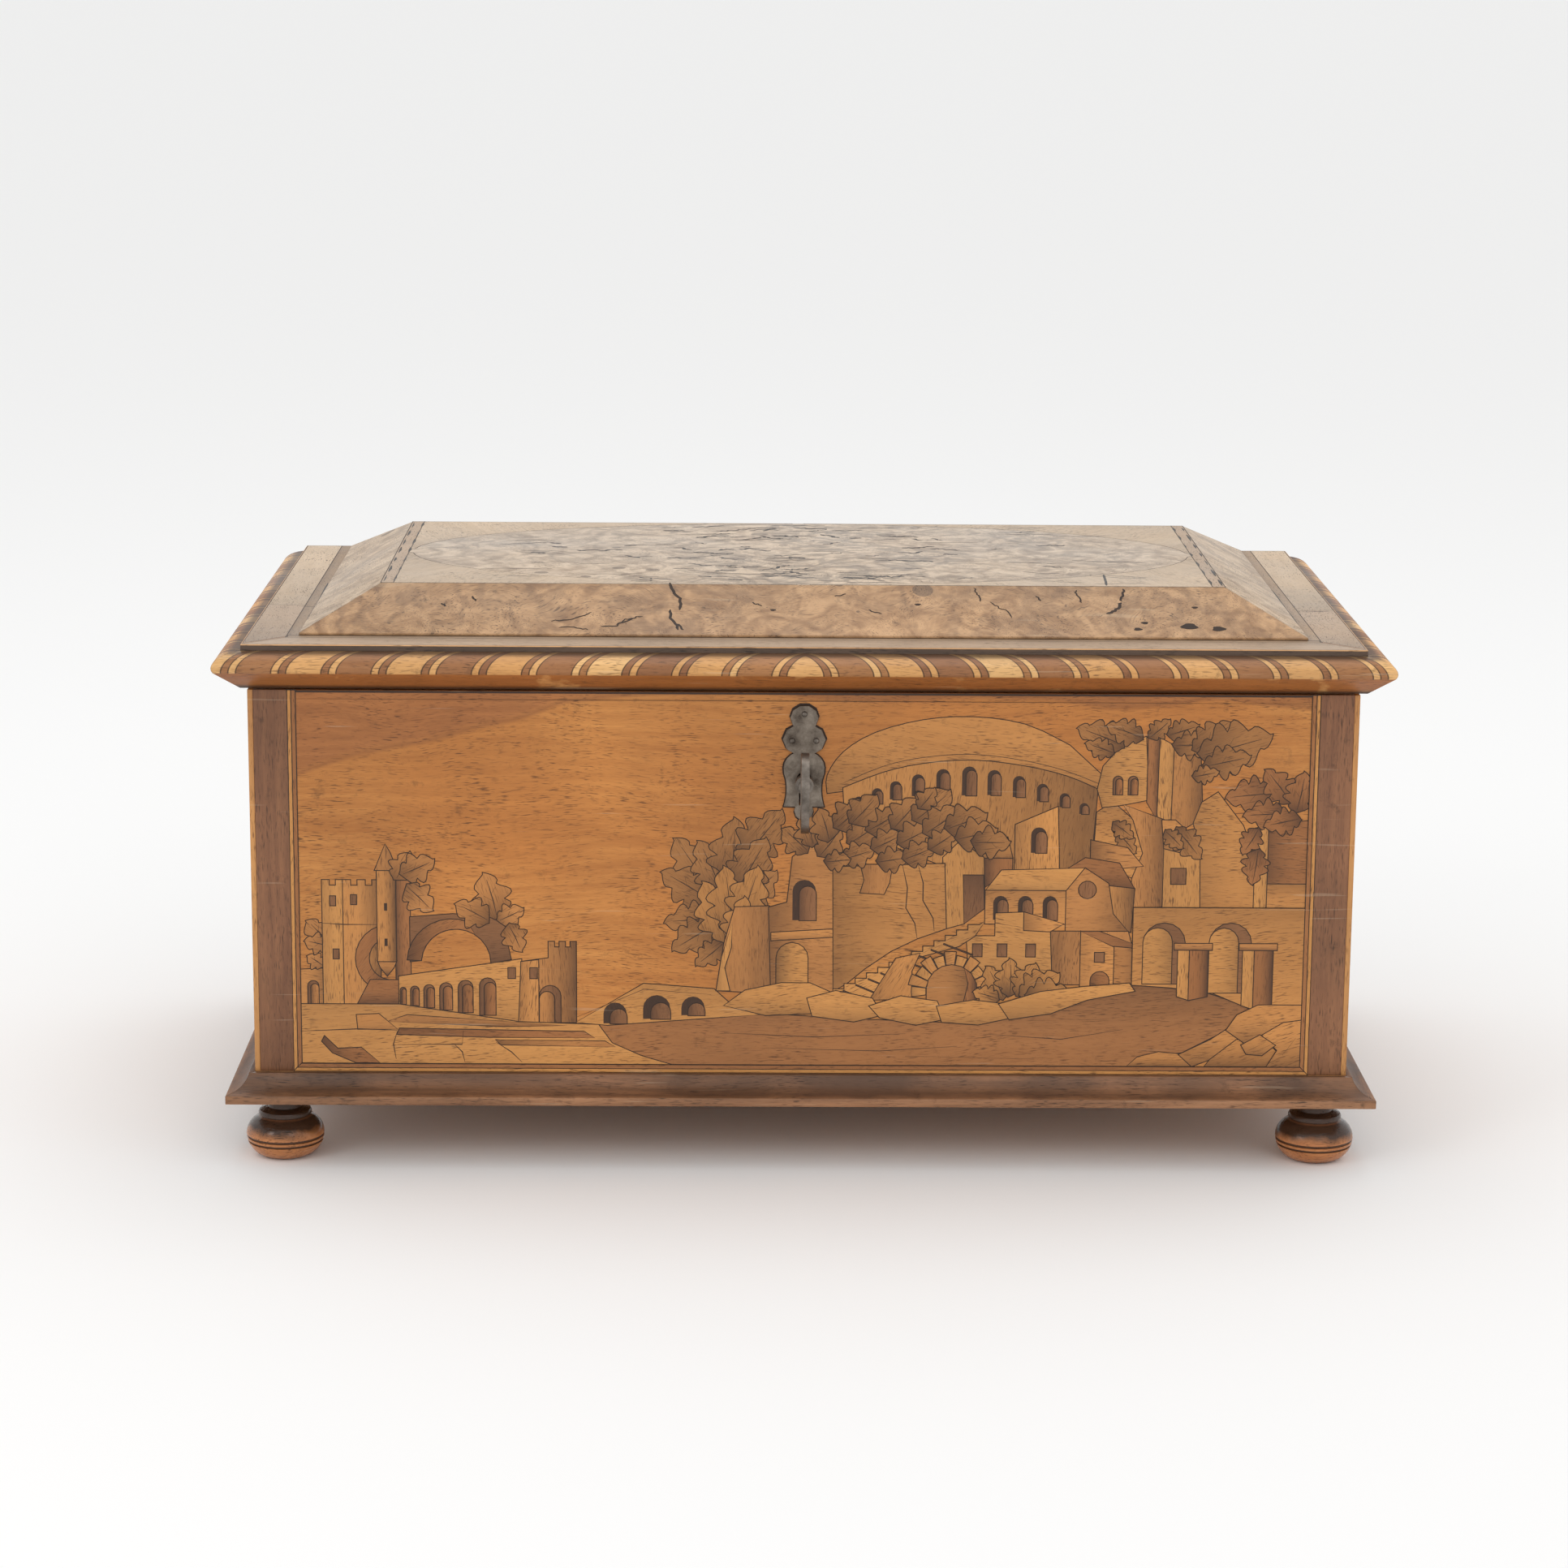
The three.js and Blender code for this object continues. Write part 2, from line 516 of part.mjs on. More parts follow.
// -- lock: escutcheon outside, lock case inside, sliding bolt, staple on the lid
{
  const lobe = (cz, rx, rz) => {
    const shape = new THREE.Shape();
    shape.absellipse(0, cz, rx, rz, 0, 2 * Math.PI);
    return shape;
  };
  const waist = new THREE.Shape();
  waist.moveTo(0, -17);
  waist.lineTo(5, -19.2);
  waist.quadraticCurveTo(9.4, -22.4, 6.9, -29);
  waist.quadraticCurveTo(6, -34, 7.7, -39.4);
  waist.lineTo(-7.7, -39.4);
  waist.quadraticCurveTo(-6, -34, -6.9, -29);
  waist.quadraticCurveTo(-9.4, -22.4, -5, -19.2);
  const face = [-GLUE - PLATE, -GLUE];
  const blanks = [lobe(-5, 5.4, 5), lobe(-13.4, 8.2, 6.4), waist, lobe(-41, 3.7, 3.8)];
  add(
    "escutcheon",
    cut(
      join(...blanks.map((s) => plateY(s, face, 5).translate(0, 0, rimZ - PLATE_TOP))),
      keyhole([-PLATE - 1, 1]),
    ),
    iron,
  );

  const y0 = inFront + GLUE;
  const top = rimZ - LOCK_DROP;
  const inner = [y0 + PLATE, y0 + LOCK_D - PLATE];
  const slotY = (inner[0] + inner[1]) / 2;
  const half = STAPLE.width / 2;
  const stapleX = [STAPLE.x0, STAPLE.x0 + STAPLE.thick];
  add(
    "lock_case",
    cut(
      box([-LOCK_W / 2, LOCK_W / 2], [y0, y0 + LOCK_D], [top - LOCK_H, top]),
      box([PLATE - LOCK_W / 2, LOCK_W / 2 - PLATE], inner, [top - LOCK_H + PLATE, top - PLATE]),
      keyhole([y0 - 1, inner[0] + 1]),
      box(
        [stapleX[0] - LOCK_SLOT, stapleX[1] + LOCK_SLOT],
        [inner[0] + 0.1, inner[1] - 0.1],
        [top - PLATE - 1, top + 1],
      ),
    ),
    iron,
  );
  const boltTop = rimZ - BOLT.drop + BOLT.height;
  const boltY = [slotY - BOLT.thick / 2, slotY + BOLT.thick / 2];
  add(
    "lock_bolt",
    join(
      box([BOLT.x0, BOLT.x0 + BOLT.length], boltY, [rimZ - BOLT.drop, boltTop]),
      box([BOLT.x0, BOLT.x0 + BOLT_TAIL.length], boltY, [keyZ + BIT_REACH + BOLT_TAIL.clear, boltTop]),
    ),
    steel,
  );
  const eye = half - STAPLE.wall;
  const stapleZ = [lidZ - GLUE - STAPLE.plate, lidZ - GLUE];
  const eyeZ = lidZ - STAPLE.drop + STAPLE.wall + 1;
  add(
    "lock_staple",
    cut(
      join(
        box([stapleX[0] - STAPLE.lap, stapleX[1] + STAPLE.lap], [y0, y0 + LOCK_D], stapleZ),
        box(stapleX, [slotY - half, slotY + half], [lidZ - STAPLE.drop, lidZ - 0.5]),
      ),
      box([stapleX[0] - 1, stapleX[1] + 1], [slotY - eye, slotY + eye], [eyeZ, eyeZ + STAPLE.eye]),
    ),
    iron,
  );
}

// -- key: ring bow, shank with a collar, bit pointing down
{
  const bow = new THREE.Shape();
  bow.absellipse(BOW_Y, keyZ, BOW_HALF_D, BOW_HALF_H, 0, 2 * Math.PI);
  const hole = new THREE.Path();
  hole.absellipse(BOW_Y, keyZ, BOW_HALF_D - BOW_RIM, BOW_HALF_H - BOW_RIM, 0, 2 * Math.PI);
  bow.holes.push(hole);
  const shankFrom = BOW_Y + BOW_HALF_D - BOW_RIM / 2;
  add(
    "key",
    join(
      plateX(bow, [-BOW_T / 2, BOW_T / 2], 12),
      rodY(KEY_R, [shankFrom, BIT_Y[1] + 1], 0, keyZ, 16),
      rodY(KEY_R + KEY_COLLAR.out, [shankFrom + KEY_COLLAR.from, shankFrom + KEY_COLLAR.to], 0, keyZ, 16),
      box([-BIT_W / 2, BIT_W / 2], BIT_Y, [keyZ - BIT_REACH, keyZ]),
    ),
    iron,
  );
}

// -- partition between the winding lever and the movement
add(
  "lever_partition",
  cut(
    box(
      [partitionX, partitionX + PARTITION_T],
      [inFront + GLUE, inBack - GLUE],
      [floorZ + GLUE, floorZ + PARTITION_H],
    ),
    rodX(
      BARREL_ARBOR_R + PARTITION_HOLE,
      [partitionX - 1, partitionX + PARTITION_T + 1],
      barrelY,
      barrelZ,
      16,
    ),
  ),
  pine,
);

// -- bedplate on four pillars, with the studs that the two small levers turn on
{
  const inset = PILLAR_R + PILLAR_INSET;
  const corners = [bedX[0] + inset, bedX[1] - inset].flatMap((x) =>
    [bedY[0] + inset, bedY[1] - inset].map((y) => [x, y]),
  );
  add(
    "bedplate",
    join(
      box(bedX, bedY, [bedZ - BED_T, bedZ]),
      ...corners.map(([x, y]) => rodZ(PILLAR_R, [floorZ + GLUE, bedZ - BED_T + 1], x, y, 16)),
      ...[startPivot, changePivot].map(([x, y]) => rodZ(STUD_R, [bedZ - 1, bedZ + STUD_H], x, y, 12)),
    ),
    brass,
  );
}

// -- comb and its riser
{
  const [x0, x1] = [cylX0 + COMB_END, cylX0 + CYL_L - COMB_END];
  const root = combY0 + COMB_BACK;
  const step = (x1 - x0) / COMB_TEETH;
  const points = [[x0, combY0], [x1, combY0]];
  for (let i = COMB_TEETH - 1; i >= 0; i--) {
    const right = x0 + (i + 1) * step - (i === COMB_TEETH - 1 ? 0 : COMB_SLIT / 2);
    const left = x0 + i * step + (i === 0 ? 0 : COMB_SLIT / 2);
    if (i < COMB_TEETH - 1) points.push([right, root]);
    points.push([right, combTips], [left, combTips]);
    if (i > 0) points.push([left, root]);
  }
  add("comb", slab(outline(points), COMB_T).translate(0, 0, cylZ - COMB_T / 2), steel);
  add(
    "comb_riser",
    box([x0, x1], [combY0, root - RISER_BACK], [bedZ + GLUE, cylZ - COMB_T / 2 - GLUE]),
    brass,
  );
}

// -- bearings: upright cocks on the bedplate, each bored for its arbor
function cock(x, y, z, bore, half) {
  return cut(
    join(box(x, [y - half, y + half], [bedZ + GLUE, z]), rodX(half, x, y, z, 20)),
    rodX(bore + RUN, [x[0] - 1, x[1] + 1], y, z, 20),
  );
}
add("arbor_bearing_left", cock(leftCock, cylY, cylZ, ARBOR_R, COCK.half), brass);
add("arbor_bearing_right", cock(rightCock, cylY, cylZ, ARBOR_R, COCK.half), brass);
const bracketX = [barrelX[0] - BRACKET.gap - COCK.thick, barrelX[0] - BRACKET.gap];
add("barrel_bracket_left", cock(bracketX, barrelY, barrelZ, BARREL_ARBOR_R, BRACKET.half), brass);
add("barrel_bracket_right", cock(leftCock, barrelY, barrelZ, BARREL_ARBOR_R, BRACKET.half), brass);

// -- cylinder arbor with the pinion that the barrel drives, great wheel with its snail, and cylinder
const toBarrel = Math.atan2(barrelZ - cylZ, barrelY - cylY);
const toGovernor = Math.atan2(govZ - cylZ, govY - cylY);
const driveX = [barrelX[1], barrelX[1] + DRIVE.width];
{
  add(
    "cylinder_arbor",
    join(
      rodX(ARBOR_R, [driveX[0] - 1, rightCock[1] + 2], cylY, cylZ, 16),
      gearX(DRIVE.module, DRIVE.pinion, toBarrel, [driveX[0] + DRUM_LAP + 0.1, driveX[1] + 0.5], cylY, cylZ),
    ),
    steel,
  );
  const snailX = [cylX0 + CYL_L + CYL_SHIFT + SNAIL.gap, greatX[0] + 0.5];
  add(
    "great_wheel",
    cut(
      join(
        gearX(TRAIN.module, TRAIN.great, toGovernor, greatX, cylY, cylZ),
        rodX(SNAIL.r, snailX, cylY, cylZ, 16),
      ),
      rodX(ARBOR_R + GLUE, [snailX[0] - 1, greatX[1] + 1], cylY, cylZ, 16),
    ),
    brass,
  );
  const bore = ARBOR_R + RUN;
  const drum = [
    [bore, 0],
    [CYL_R, 0],
    [CYL_R, CYL_L],
    [bore, CYL_L],
    [bore, CYL_L - CYL_CAP],
    [CYL_R - CYL_WALL, CYL_L - CYL_CAP],
    [CYL_R - CYL_WALL, CYL_CAP],
    [bore, CYL_CAP],
    [bore, 0],
  ];
  add(
    "tune_cylinder",
    turned(drum, 40).rotateY(Math.PI / 2).translate(cylX0, cylY, cylZ),
    brass,
  );
}

// -- spring barrel: drum with the driving gear, cover, mainspring
{
  const step = (2 * Math.PI) / DRIVE.barrel;
  const bore = [driveX[0] - 2, driveX[1] + 1];
  const inside = BARREL_R - BARREL_WALL;
  add(
    "spring_barrel",
    cut(
      join(
        rodX(BARREL_R, [barrelX[0], barrelX[1] + DRUM_LAP], barrelY, barrelZ, 40),
        gearX(DRIVE.module, DRIVE.barrel, toBarrel + Math.PI + step / 2, driveX, barrelY, barrelZ),
      ),
      rodX(inside, [barrelX[0] - 1, barrelX[1]], barrelY, barrelZ, 32),
      rodX(BARREL_ARBOR_R + RUN, bore, barrelY, barrelZ, 20),
    ),
    brass,
  );
  const coverX = [barrelX[0] - GLUE - COVER_T, barrelX[0] - GLUE];
  add(
    "barrel_cover",
    cut(
      rodX(BARREL_R, coverX, barrelY, barrelZ, 32),
      rodX(BARREL_ARBOR_R + RUN, [coverX[0] - 1, coverX[1] + 1], barrelY, barrelZ, 20),
    ),
    brass,
  );
  const { turns, strip, fromArbor, fromDrum, ends } = SPRING;
  const perTurn = 16;
  const [from, to] = [BARREL_ARBOR_R + fromArbor, inside - fromDrum];
  const spiral = (offset) =>
    Array.from({ length: turns * perTurn + 1 }, (_, i) => {
      const r = from + ((to - from) * i) / (turns * perTurn) + offset;
      const a = (2 * Math.PI * i) / perTurn;
      return [r * Math.cos(a), r * Math.sin(a)];
    });
  add(
    "mainspring",
    plateX(
      outline([...spiral(0), ...spiral(strip).reverse()]),
      [barrelX[0] + ends, barrelX[1] - ends],
    ).translate(0, barrelY, barrelZ),
    steel,
  );
}

// -- winding: barrel arbor with its ratchet wheel, click, and the winding lever
{
  const saw = [];
  for (let i = 0; i < RATCHET.teeth; i++) {
    const a = (2 * Math.PI * i) / RATCHET.teeth;
    const next = a + (2 * Math.PI * 0.8) / RATCHET.teeth;
    const low = RATCHET.r - RATCHET.depth;
    saw.push([low * Math.cos(a), low * Math.sin(a)]);
    saw.push([RATCHET.r * Math.cos(next), RATCHET.r * Math.sin(next)]);
  }
  add(
    "barrel_arbor",
    join(
      rodX(BARREL_ARBOR_R, [leverX[0] - 2, leftCock[1] + 1], barrelY, barrelZ, 16),
      rodX(BARREL_ARBOR_R + 1.6, [barrelX[0] + 1, barrelX[1] - 1], barrelY, barrelZ, 16),
      plateX(outline(saw), ratchetX).translate(0, barrelY, barrelZ),
    ),
    steel,
  );
  const tip = RATCHET.r + 0.4;
  const click = outline([
    [tip * 0.75, tip * 0.67],
    [tip * 0.98, tip * 0.62],
    [24, 20],
    [21, 26],
    [16, 24],
  ]);
  add(
    "ratchet_click",
    join(
      plateX(click, ratchetX).translate(0, barrelY, barrelZ),
      rodX(2, [ratchetX[0] - 1, partitionX - GLUE], barrelY + 20, barrelZ + 22, 12),
    ),
    steel,
  );
  const armX = [leverX[0] + 1, leverX[1] - 1];
  const handleY = barrelY - LEVER_L;
  add(
    "winding_lever",
    cut(
      join(
        rodX(LEVER.hub, leverX, barrelY, barrelZ, 24),
        box(armX, [handleY, barrelY], [barrelZ - LEVER.half, barrelZ + LEVER.half]),
        rodX(LEVER.handle, [leverX[0] - LEVER.handleL, leverX[1] - 1], handleY, barrelZ, 16),
      ),
      rodX(BARREL_ARBOR_R + RUN, [leverX[0] - LEVER.handleL - 2, leverX[1] + 1], barrelY, barrelZ, 16),
    ),
    steel,
  );
}

// -- governor: frame, worm wheel on the arbor that the great wheel drives, and the fly
const platesX = [PLATES.left.map((d) => wormX - d), PLATES.right.map((d) => wormX + d)];
const flyTop = govZ + FLY_UP.top;
{
  const foot = bedZ + FRAME_FOOT;
  const post = [flyY + FLY_R + POST.gap, flyY + FLY_R + POST.gap + POST.depth];
  const postX = [wormX - POST.half, wormX + POST.half];
  add(
    "governor_frame",
    cut(
      join(
        box(
          [platesX[0][0] - 1, platesX[1][1] + 1],
          [govY - PLATES.half - 2, post[1]],
          [bedZ + GLUE, foot],
        ),
        ...platesX.map((x) =>
          box(x, [govY - PLATES.half, govY + PLATES.half], [foot - 1, govZ + PLATES.over]),
        ),
        box(postX, post, [foot - 1, flyTop]),
        box(postX, [flyY - 3.5, post[1]], [flyTop - 4, flyTop]),
      ),
      rodX(1.5 + RUN, [platesX[0][0] - 1, platesX[1][1] + 1], govY, govZ, 12),
      rodZ(1 + RUN, [bedZ - 1, foot + 1], wormX, flyY, 12),
      rodZ(1 + RUN, [flyTop - 5, flyTop + 1], wormX, flyY, 12),
    ),
    brass,
  );

  const pinionStep = (2 * Math.PI) / TRAIN.pinion;
  const wheelStep = (2 * Math.PI) / WORM.wheel;
  const wheelX = [wormX - WORM.width / 2, wormX + WORM.width / 2];
  const pinionX = [greatX[0] - 1, greatX[1] + 1];
  add(
    "governor_wheel",
    join(
      rodX(1.5, [pinionX[0] - 1, platesX[1][1] + 0.5], govY, govZ, 12),
      gearX(TRAIN.module, TRAIN.pinion, toGovernor + Math.PI + pinionStep / 2, pinionX, govY, govZ),
      gearX(WORM.module, WORM.wheel, wheelStep / 2, wheelX, govY, govZ),
    ),
    brass,
  );
}

// A single-start worm thread about a vertical axis. It passes the height "at" where it faces the wheel.
function wormThread(at) {
  const lead = Math.PI * WORM.module;
  const perTurn = 16;
  const steps = WORM.turns * perTurn;
  const [root, tip] = [WORM.radius - 0.8, WORM.radius + 0.5];
  const section = [
    [root, -0.26 * lead],
    [tip, -0.11 * lead],
    [tip, 0.11 * lead],
    [root, 0.26 * lead],
  ];
  const facing = -Math.PI / 2;
  const ring = (i) => {
    const turn = (i / perTurn - WORM.turns / 2) * 2 * Math.PI;
    return section.map(([r, z]) => [
      r * Math.cos(facing + turn),
      r * Math.sin(facing + turn),
      at + z + (lead * turn) / (2 * Math.PI),
    ]);
  };
  const points = Array.from({ length: steps + 1 }, (_, i) => ring(i)).flat();
  const faces = [0, 2, 1, 0, 3, 2];
  for (let i = 0; i < steps; i++)
    for (let k = 0; k < 4; k++) {
      const [a, b] = [i * 4 + k, i * 4 + ((k + 1) % 4)];
      faces.push(a, b, b + 4, a, b + 4, a + 4);
    }
  const last = steps * 4;
  faces.push(last, last + 1, last + 2, last, last + 2, last + 3);
  const g = new THREE.BufferGeometry()
    .setAttribute("position", new THREE.Float32BufferAttribute(points.flat(), 3))
    .setIndex(faces);
  return facingOut(g);
}
add(
  "fly",
  join(
    wormThread(govZ).translate(wormX, flyY, 0),
    rodZ(WORM.radius - 0.6, [govZ - 7, govZ + 11], wormX, flyY, 16),
    rodZ(1, [bedZ + 0.5, flyTop + 0.5], wormX, flyY, 12),
    box(
      [wormX - FLY_R, wormX + FLY_R],
      [flyY - 0.6, flyY + 0.6],
      [govZ + FLY_UP.blade, govZ + FLY_UP.blade + FLY_H],
    ),
  ),
  steel,
);

// -- start and change levers: flat brass levers turning on the bedplate's studs
function smallLever([x, y], forward, backward) {
  const { half, thick, lift, hub, knob, knobH } = SMALL_LEVER;
  const z = [bedZ + lift, bedZ + lift + thick];
  return cut(
    join(
      rodZ(hub, [z[0], z[1] + 1], x, y, 20),
      box([x - half, x + half], [y - forward, y + backward], z),
      rodZ(knob, [z[0], z[1] + knobH], x, y - forward, 16),
    ),
    rodZ(STUD_R + RUN, [bedZ - 1, bedZ + STUD_H + 3], x, y, 12),
  );
}
add(
  "start_stop_lever",
  join(
    smallLever(startPivot, startPivot[1] - knobY, flyY - startPivot[1] + CATCH_R),
    rodZ(CATCH_R, [bedZ + 1, govZ + FLY_UP.blade + 10], startPivot[0], flyY, 16),
  ),
  brass,
);
add("change_lever", smallLever(changePivot, changePivot[1] - knobY, CHANGE_TAIL), brass);

casket.position.set(0, -(frontMost + backMost) / 2, 0);
const musicBox = new THREE.Group();
musicBox.add(casket);
export default musicBox;
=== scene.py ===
# Cylinder music box in a marquetry casket. Metres, +X right, +Y back, +Z up, ground at z = 0.
import json
import math
import random

import bpy
from mathutils import Matrix, Vector

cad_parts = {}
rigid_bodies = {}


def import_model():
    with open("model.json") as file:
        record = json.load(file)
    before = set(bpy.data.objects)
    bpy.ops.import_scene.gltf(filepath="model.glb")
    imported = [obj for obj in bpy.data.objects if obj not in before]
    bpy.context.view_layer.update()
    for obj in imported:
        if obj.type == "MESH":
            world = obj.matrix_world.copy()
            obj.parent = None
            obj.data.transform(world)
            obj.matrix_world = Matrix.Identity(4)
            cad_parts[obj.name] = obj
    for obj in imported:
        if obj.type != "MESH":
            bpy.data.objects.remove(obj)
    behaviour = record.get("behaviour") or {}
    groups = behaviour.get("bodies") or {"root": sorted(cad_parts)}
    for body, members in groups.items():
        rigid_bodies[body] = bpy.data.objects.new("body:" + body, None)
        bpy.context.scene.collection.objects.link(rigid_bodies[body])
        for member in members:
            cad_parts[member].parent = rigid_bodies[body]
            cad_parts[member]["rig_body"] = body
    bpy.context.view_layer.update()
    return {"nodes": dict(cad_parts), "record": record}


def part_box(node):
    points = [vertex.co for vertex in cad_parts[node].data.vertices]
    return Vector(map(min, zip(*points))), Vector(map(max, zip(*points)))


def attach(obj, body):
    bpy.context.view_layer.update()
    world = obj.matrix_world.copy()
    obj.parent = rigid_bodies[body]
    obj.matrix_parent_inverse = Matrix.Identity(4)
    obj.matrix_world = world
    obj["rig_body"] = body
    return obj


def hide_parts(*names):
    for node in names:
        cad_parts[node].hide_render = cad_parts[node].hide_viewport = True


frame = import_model()
MM = 0.001

# ---- Camera: a long lens, a little above the lid and a hand's breadth left of the middle.
panel_low, panel_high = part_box("front_marquetry_panel")
front_y, case_z, rim_z = panel_low.y, panel_low.z, panel_high.z
EYE_LEFT, EYE_BEFORE, EYE_UP = 0.0252, 1.4932, 0.4429
LENS, SENSOR = 92.2, 36
eye = Vector((-EYE_LEFT, front_y - EYE_BEFORE, case_z + EYE_UP))
pitch, yaw, roll = 0.2165, 0.0118, 0.0075
ahead = Vector((math.sin(yaw) * math.cos(pitch), math.cos(yaw) * math.cos(pitch), -math.sin(pitch)))
level = Vector((math.cos(yaw), -math.sin(yaw), 0))
upward = level.cross(ahead)
across = level * math.cos(roll) + upward * math.sin(roll)
over = upward * math.cos(roll) - level * math.sin(roll)
camera = bpy.data.objects.new("camera", bpy.data.cameras.new("camera"))
camera.data.lens = LENS
camera.data.sensor_width = SENSOR
camera.matrix_world = Matrix.Translation(eye) @ Matrix((across, over, -ahead)).transposed().to_4x4()
bpy.context.scene.collection.objects.link(camera)
bpy.context.scene.camera = camera


# ---- Studio: pale paper under the box, even light all round, a soft light overhead and two in front.
def colour(hex_code):
    channels = [int(hex_code[i : i + 2], 16) / 255 for i in (0, 2, 4)]
    return tuple(c / 12.92 if c <= 0.04045 else ((c + 0.055) / 1.055) ** 2.4 for c in channels) + (1,)


def new_material(name):
    material = bpy.data.materials.new(name)
    material.use_nodes = True
    return material, material.node_tree, material.node_tree.nodes["Principled BSDF"]


def set_inputs(tree, made, inputs):
    """Joins sockets to the inputs of a node, and sets the other inputs to constants."""
    for key, value in inputs.items():
        if isinstance(value, bpy.types.NodeSocket):
            tree.links.new(value, made.inputs[key])
        else:
            made.inputs[key].default_value = value


bpy.context.scene.view_settings.view_transform = "Standard"
bpy.ops.object.select_all(action="DESELECT")
FLOOR_SIZE = 120
bpy.ops.mesh.primitive_plane_add(size=FLOOR_SIZE)
floor = bpy.context.object
floor.name = "floor"
floor_material, tree, shader = new_material("pale paper")
paper = {"Base Color": (0.93, 0.93, 0.93, 1), "Roughness": 0.9, "Specular IOR Level": 0.2}
set_inputs(tree, shader, paper)
floor.data.materials.append(floor_material)

world = bpy.data.worlds.new("studio")
world.use_nodes = True
even_light = {"Color": (0.97, 0.97, 0.965, 1), "Strength": 0.95}
set_inputs(world.node_tree, world.node_tree.nodes["Background"], even_light)
bpy.context.scene.world = world
for name, place, size, power in (
    ("overhead light", (0.1, 0.3, 1.7), 1.0, 3.6),
    ("left light", (-1.3, -1.3, 1.1), 0.6, 3.4),
    ("front light", (0.7, -2.0, 1.3), 0.8, 2.4),
):
    light = bpy.data.objects.new(name, bpy.data.lights.new(name, "AREA"))
    light.data.size = size
    light.data.energy = power
    light.location = place
    light.rotation_euler = (Vector((0, 0, 0.1)) - Vector(place)).to_track_quat("-Z", "Y").to_euler()
    bpy.context.scene.collection.objects.link(light)


# ---- Wood: straight grain in long streaks with open pores, used by every board, veneer and moulding.
# Old polish lies over it: worn and dirty in blotches, and lightly scratched.
def chain(tree):
    def node(kind, inputs=(), **settings):
        made = tree.nodes.new(kind)
        for key, value in settings.items():
            setattr(made, key, value)
        set_inputs(tree, made, dict(inputs))
        return made

    return node


def math_node(node, operation, a, b=0.0):
    return node("ShaderNodeMath", {0: a, 1: b}, operation=operation).outputs[0]


def times(node, a, b):
    return math_node(node, "MULTIPLY", a, b)


def plus(node, a, b):
    return math_node(node, "ADD", a, b)


def minus(node, a, b):
    return math_node(node, "SUBTRACT", a, b)


def divided(node, a, b):
    return math_node(node, "DIVIDE", a, b)


def unsigned(node, a):
    return math_node(node, "ABSOLUTE", a)


def noise(node, where, scale, detail):
    return node("ShaderNodeTexNoise", {"Vector": where, "Scale": scale, "Detail": detail}).outputs["Fac"]


def ramp(node, value, low, high, to_low=0.0, to_high=1.0):
    limits = {"Value": value, "From Min": low, "From Max": high, "To Min": to_low, "To Max": to_high}
    return node("ShaderNodeMapRange", limits).outputs[0]


def mixer(node):
    def mix(fac, a, b, blend="MIX"):
        return node("ShaderNodeMix", {0: fac, 6: a, 7: b}, data_type="RGBA", blend_type=blend).outputs[2]

    return mix


def new_group(name, inputs, outputs):
    group = bpy.data.node_groups.new(name, "ShaderNodeTree")
    for label, kind, default in inputs:
        made = group.interface.new_socket(name=label, in_out="INPUT", socket_type=kind)
        if default is not None:
            made.default_value = default
    for label, kind in outputs:
        group.interface.new_socket(name=label, in_out="OUTPUT", socket_type=kind)
    node = chain(group)
    return group, node, node("NodeGroupInput").outputs, node("NodeGroupOutput")


VECTOR, FLOAT = "NodeSocketVector", "NodeSocketFloat"
wood_figure, n, given, result = new_group(
    "wood figure",
    [("Place", VECTOR, None), ("Streak", FLOAT, 0.004), ("Curl", FLOAT, 0.0)],
    [("Figure", FLOAT), ("Pores", FLOAT), ("Height", FLOAT), ("Broad", FLOAT)],
)
drift = n("ShaderNodeTexNoise", {"Vector": given["Place"], "Scale": 14.0, "Detail": 2.0})
bend = n("ShaderNodeVectorMath", {0: drift.outputs["Color"], 1: (0.5, 0.5, 0.5)}, operation="SUBTRACT")
bend_by = n("ShaderNodeVectorMath", {0: bend.outputs[0], "Scale": given["Curl"]}, operation="SCALE")
place = n("ShaderNodeVectorMath", {0: given["Place"], 1: bend_by.outputs[0]}, operation="ADD")
along = n("ShaderNodeVectorMath", {0: place.outputs[0], 1: (0.045, 1.0, 1.0)}, operation="MULTIPLY")
streak_scale = divided(n, 1.0, given["Streak"])
streaks = n(
    "ShaderNodeTexNoise",
    {"Vector": along.outputs[0], "Scale": streak_scale, "Detail": 6.0, "Roughness": 0.66},
)
broad = n("ShaderNodeTexNoise", {"Vector": along.outputs[0], "Scale": 46.0, "Detail": 2.0})
fine = n("ShaderNodeVectorMath", {0: place.outputs[0], 1: (0.1, 1.0, 1.0)}, operation="MULTIPLY")
pores = n("ShaderNodeTexNoise", {"Vector": fine.outputs[0], "Scale": 2500.0, "Detail": 1.0})
clusters = n("ShaderNodeTexNoise", {"Vector": place.outputs[0], "Scale": 60.0, "Detail": 2.0})
figure = ramp(n, streaks.outputs["Fac"], 0.3, 0.7)
pore_marks = ramp(n, pores.outputs["Fac"], 0.56, 0.71)
pore_marks = times(n, pore_marks, ramp(n, clusters.outputs["Fac"], 0.35, 0.6, 0.25, 1.0))
lift = minus(n, streaks.outputs["Fac"], pore_marks)
broad = ramp(n, broad.outputs["Fac"], 0.35, 0.65)
set_inputs(wood_figure, result, {"Figure": figure, "Pores": pore_marks, "Height": lift, "Broad": broad})

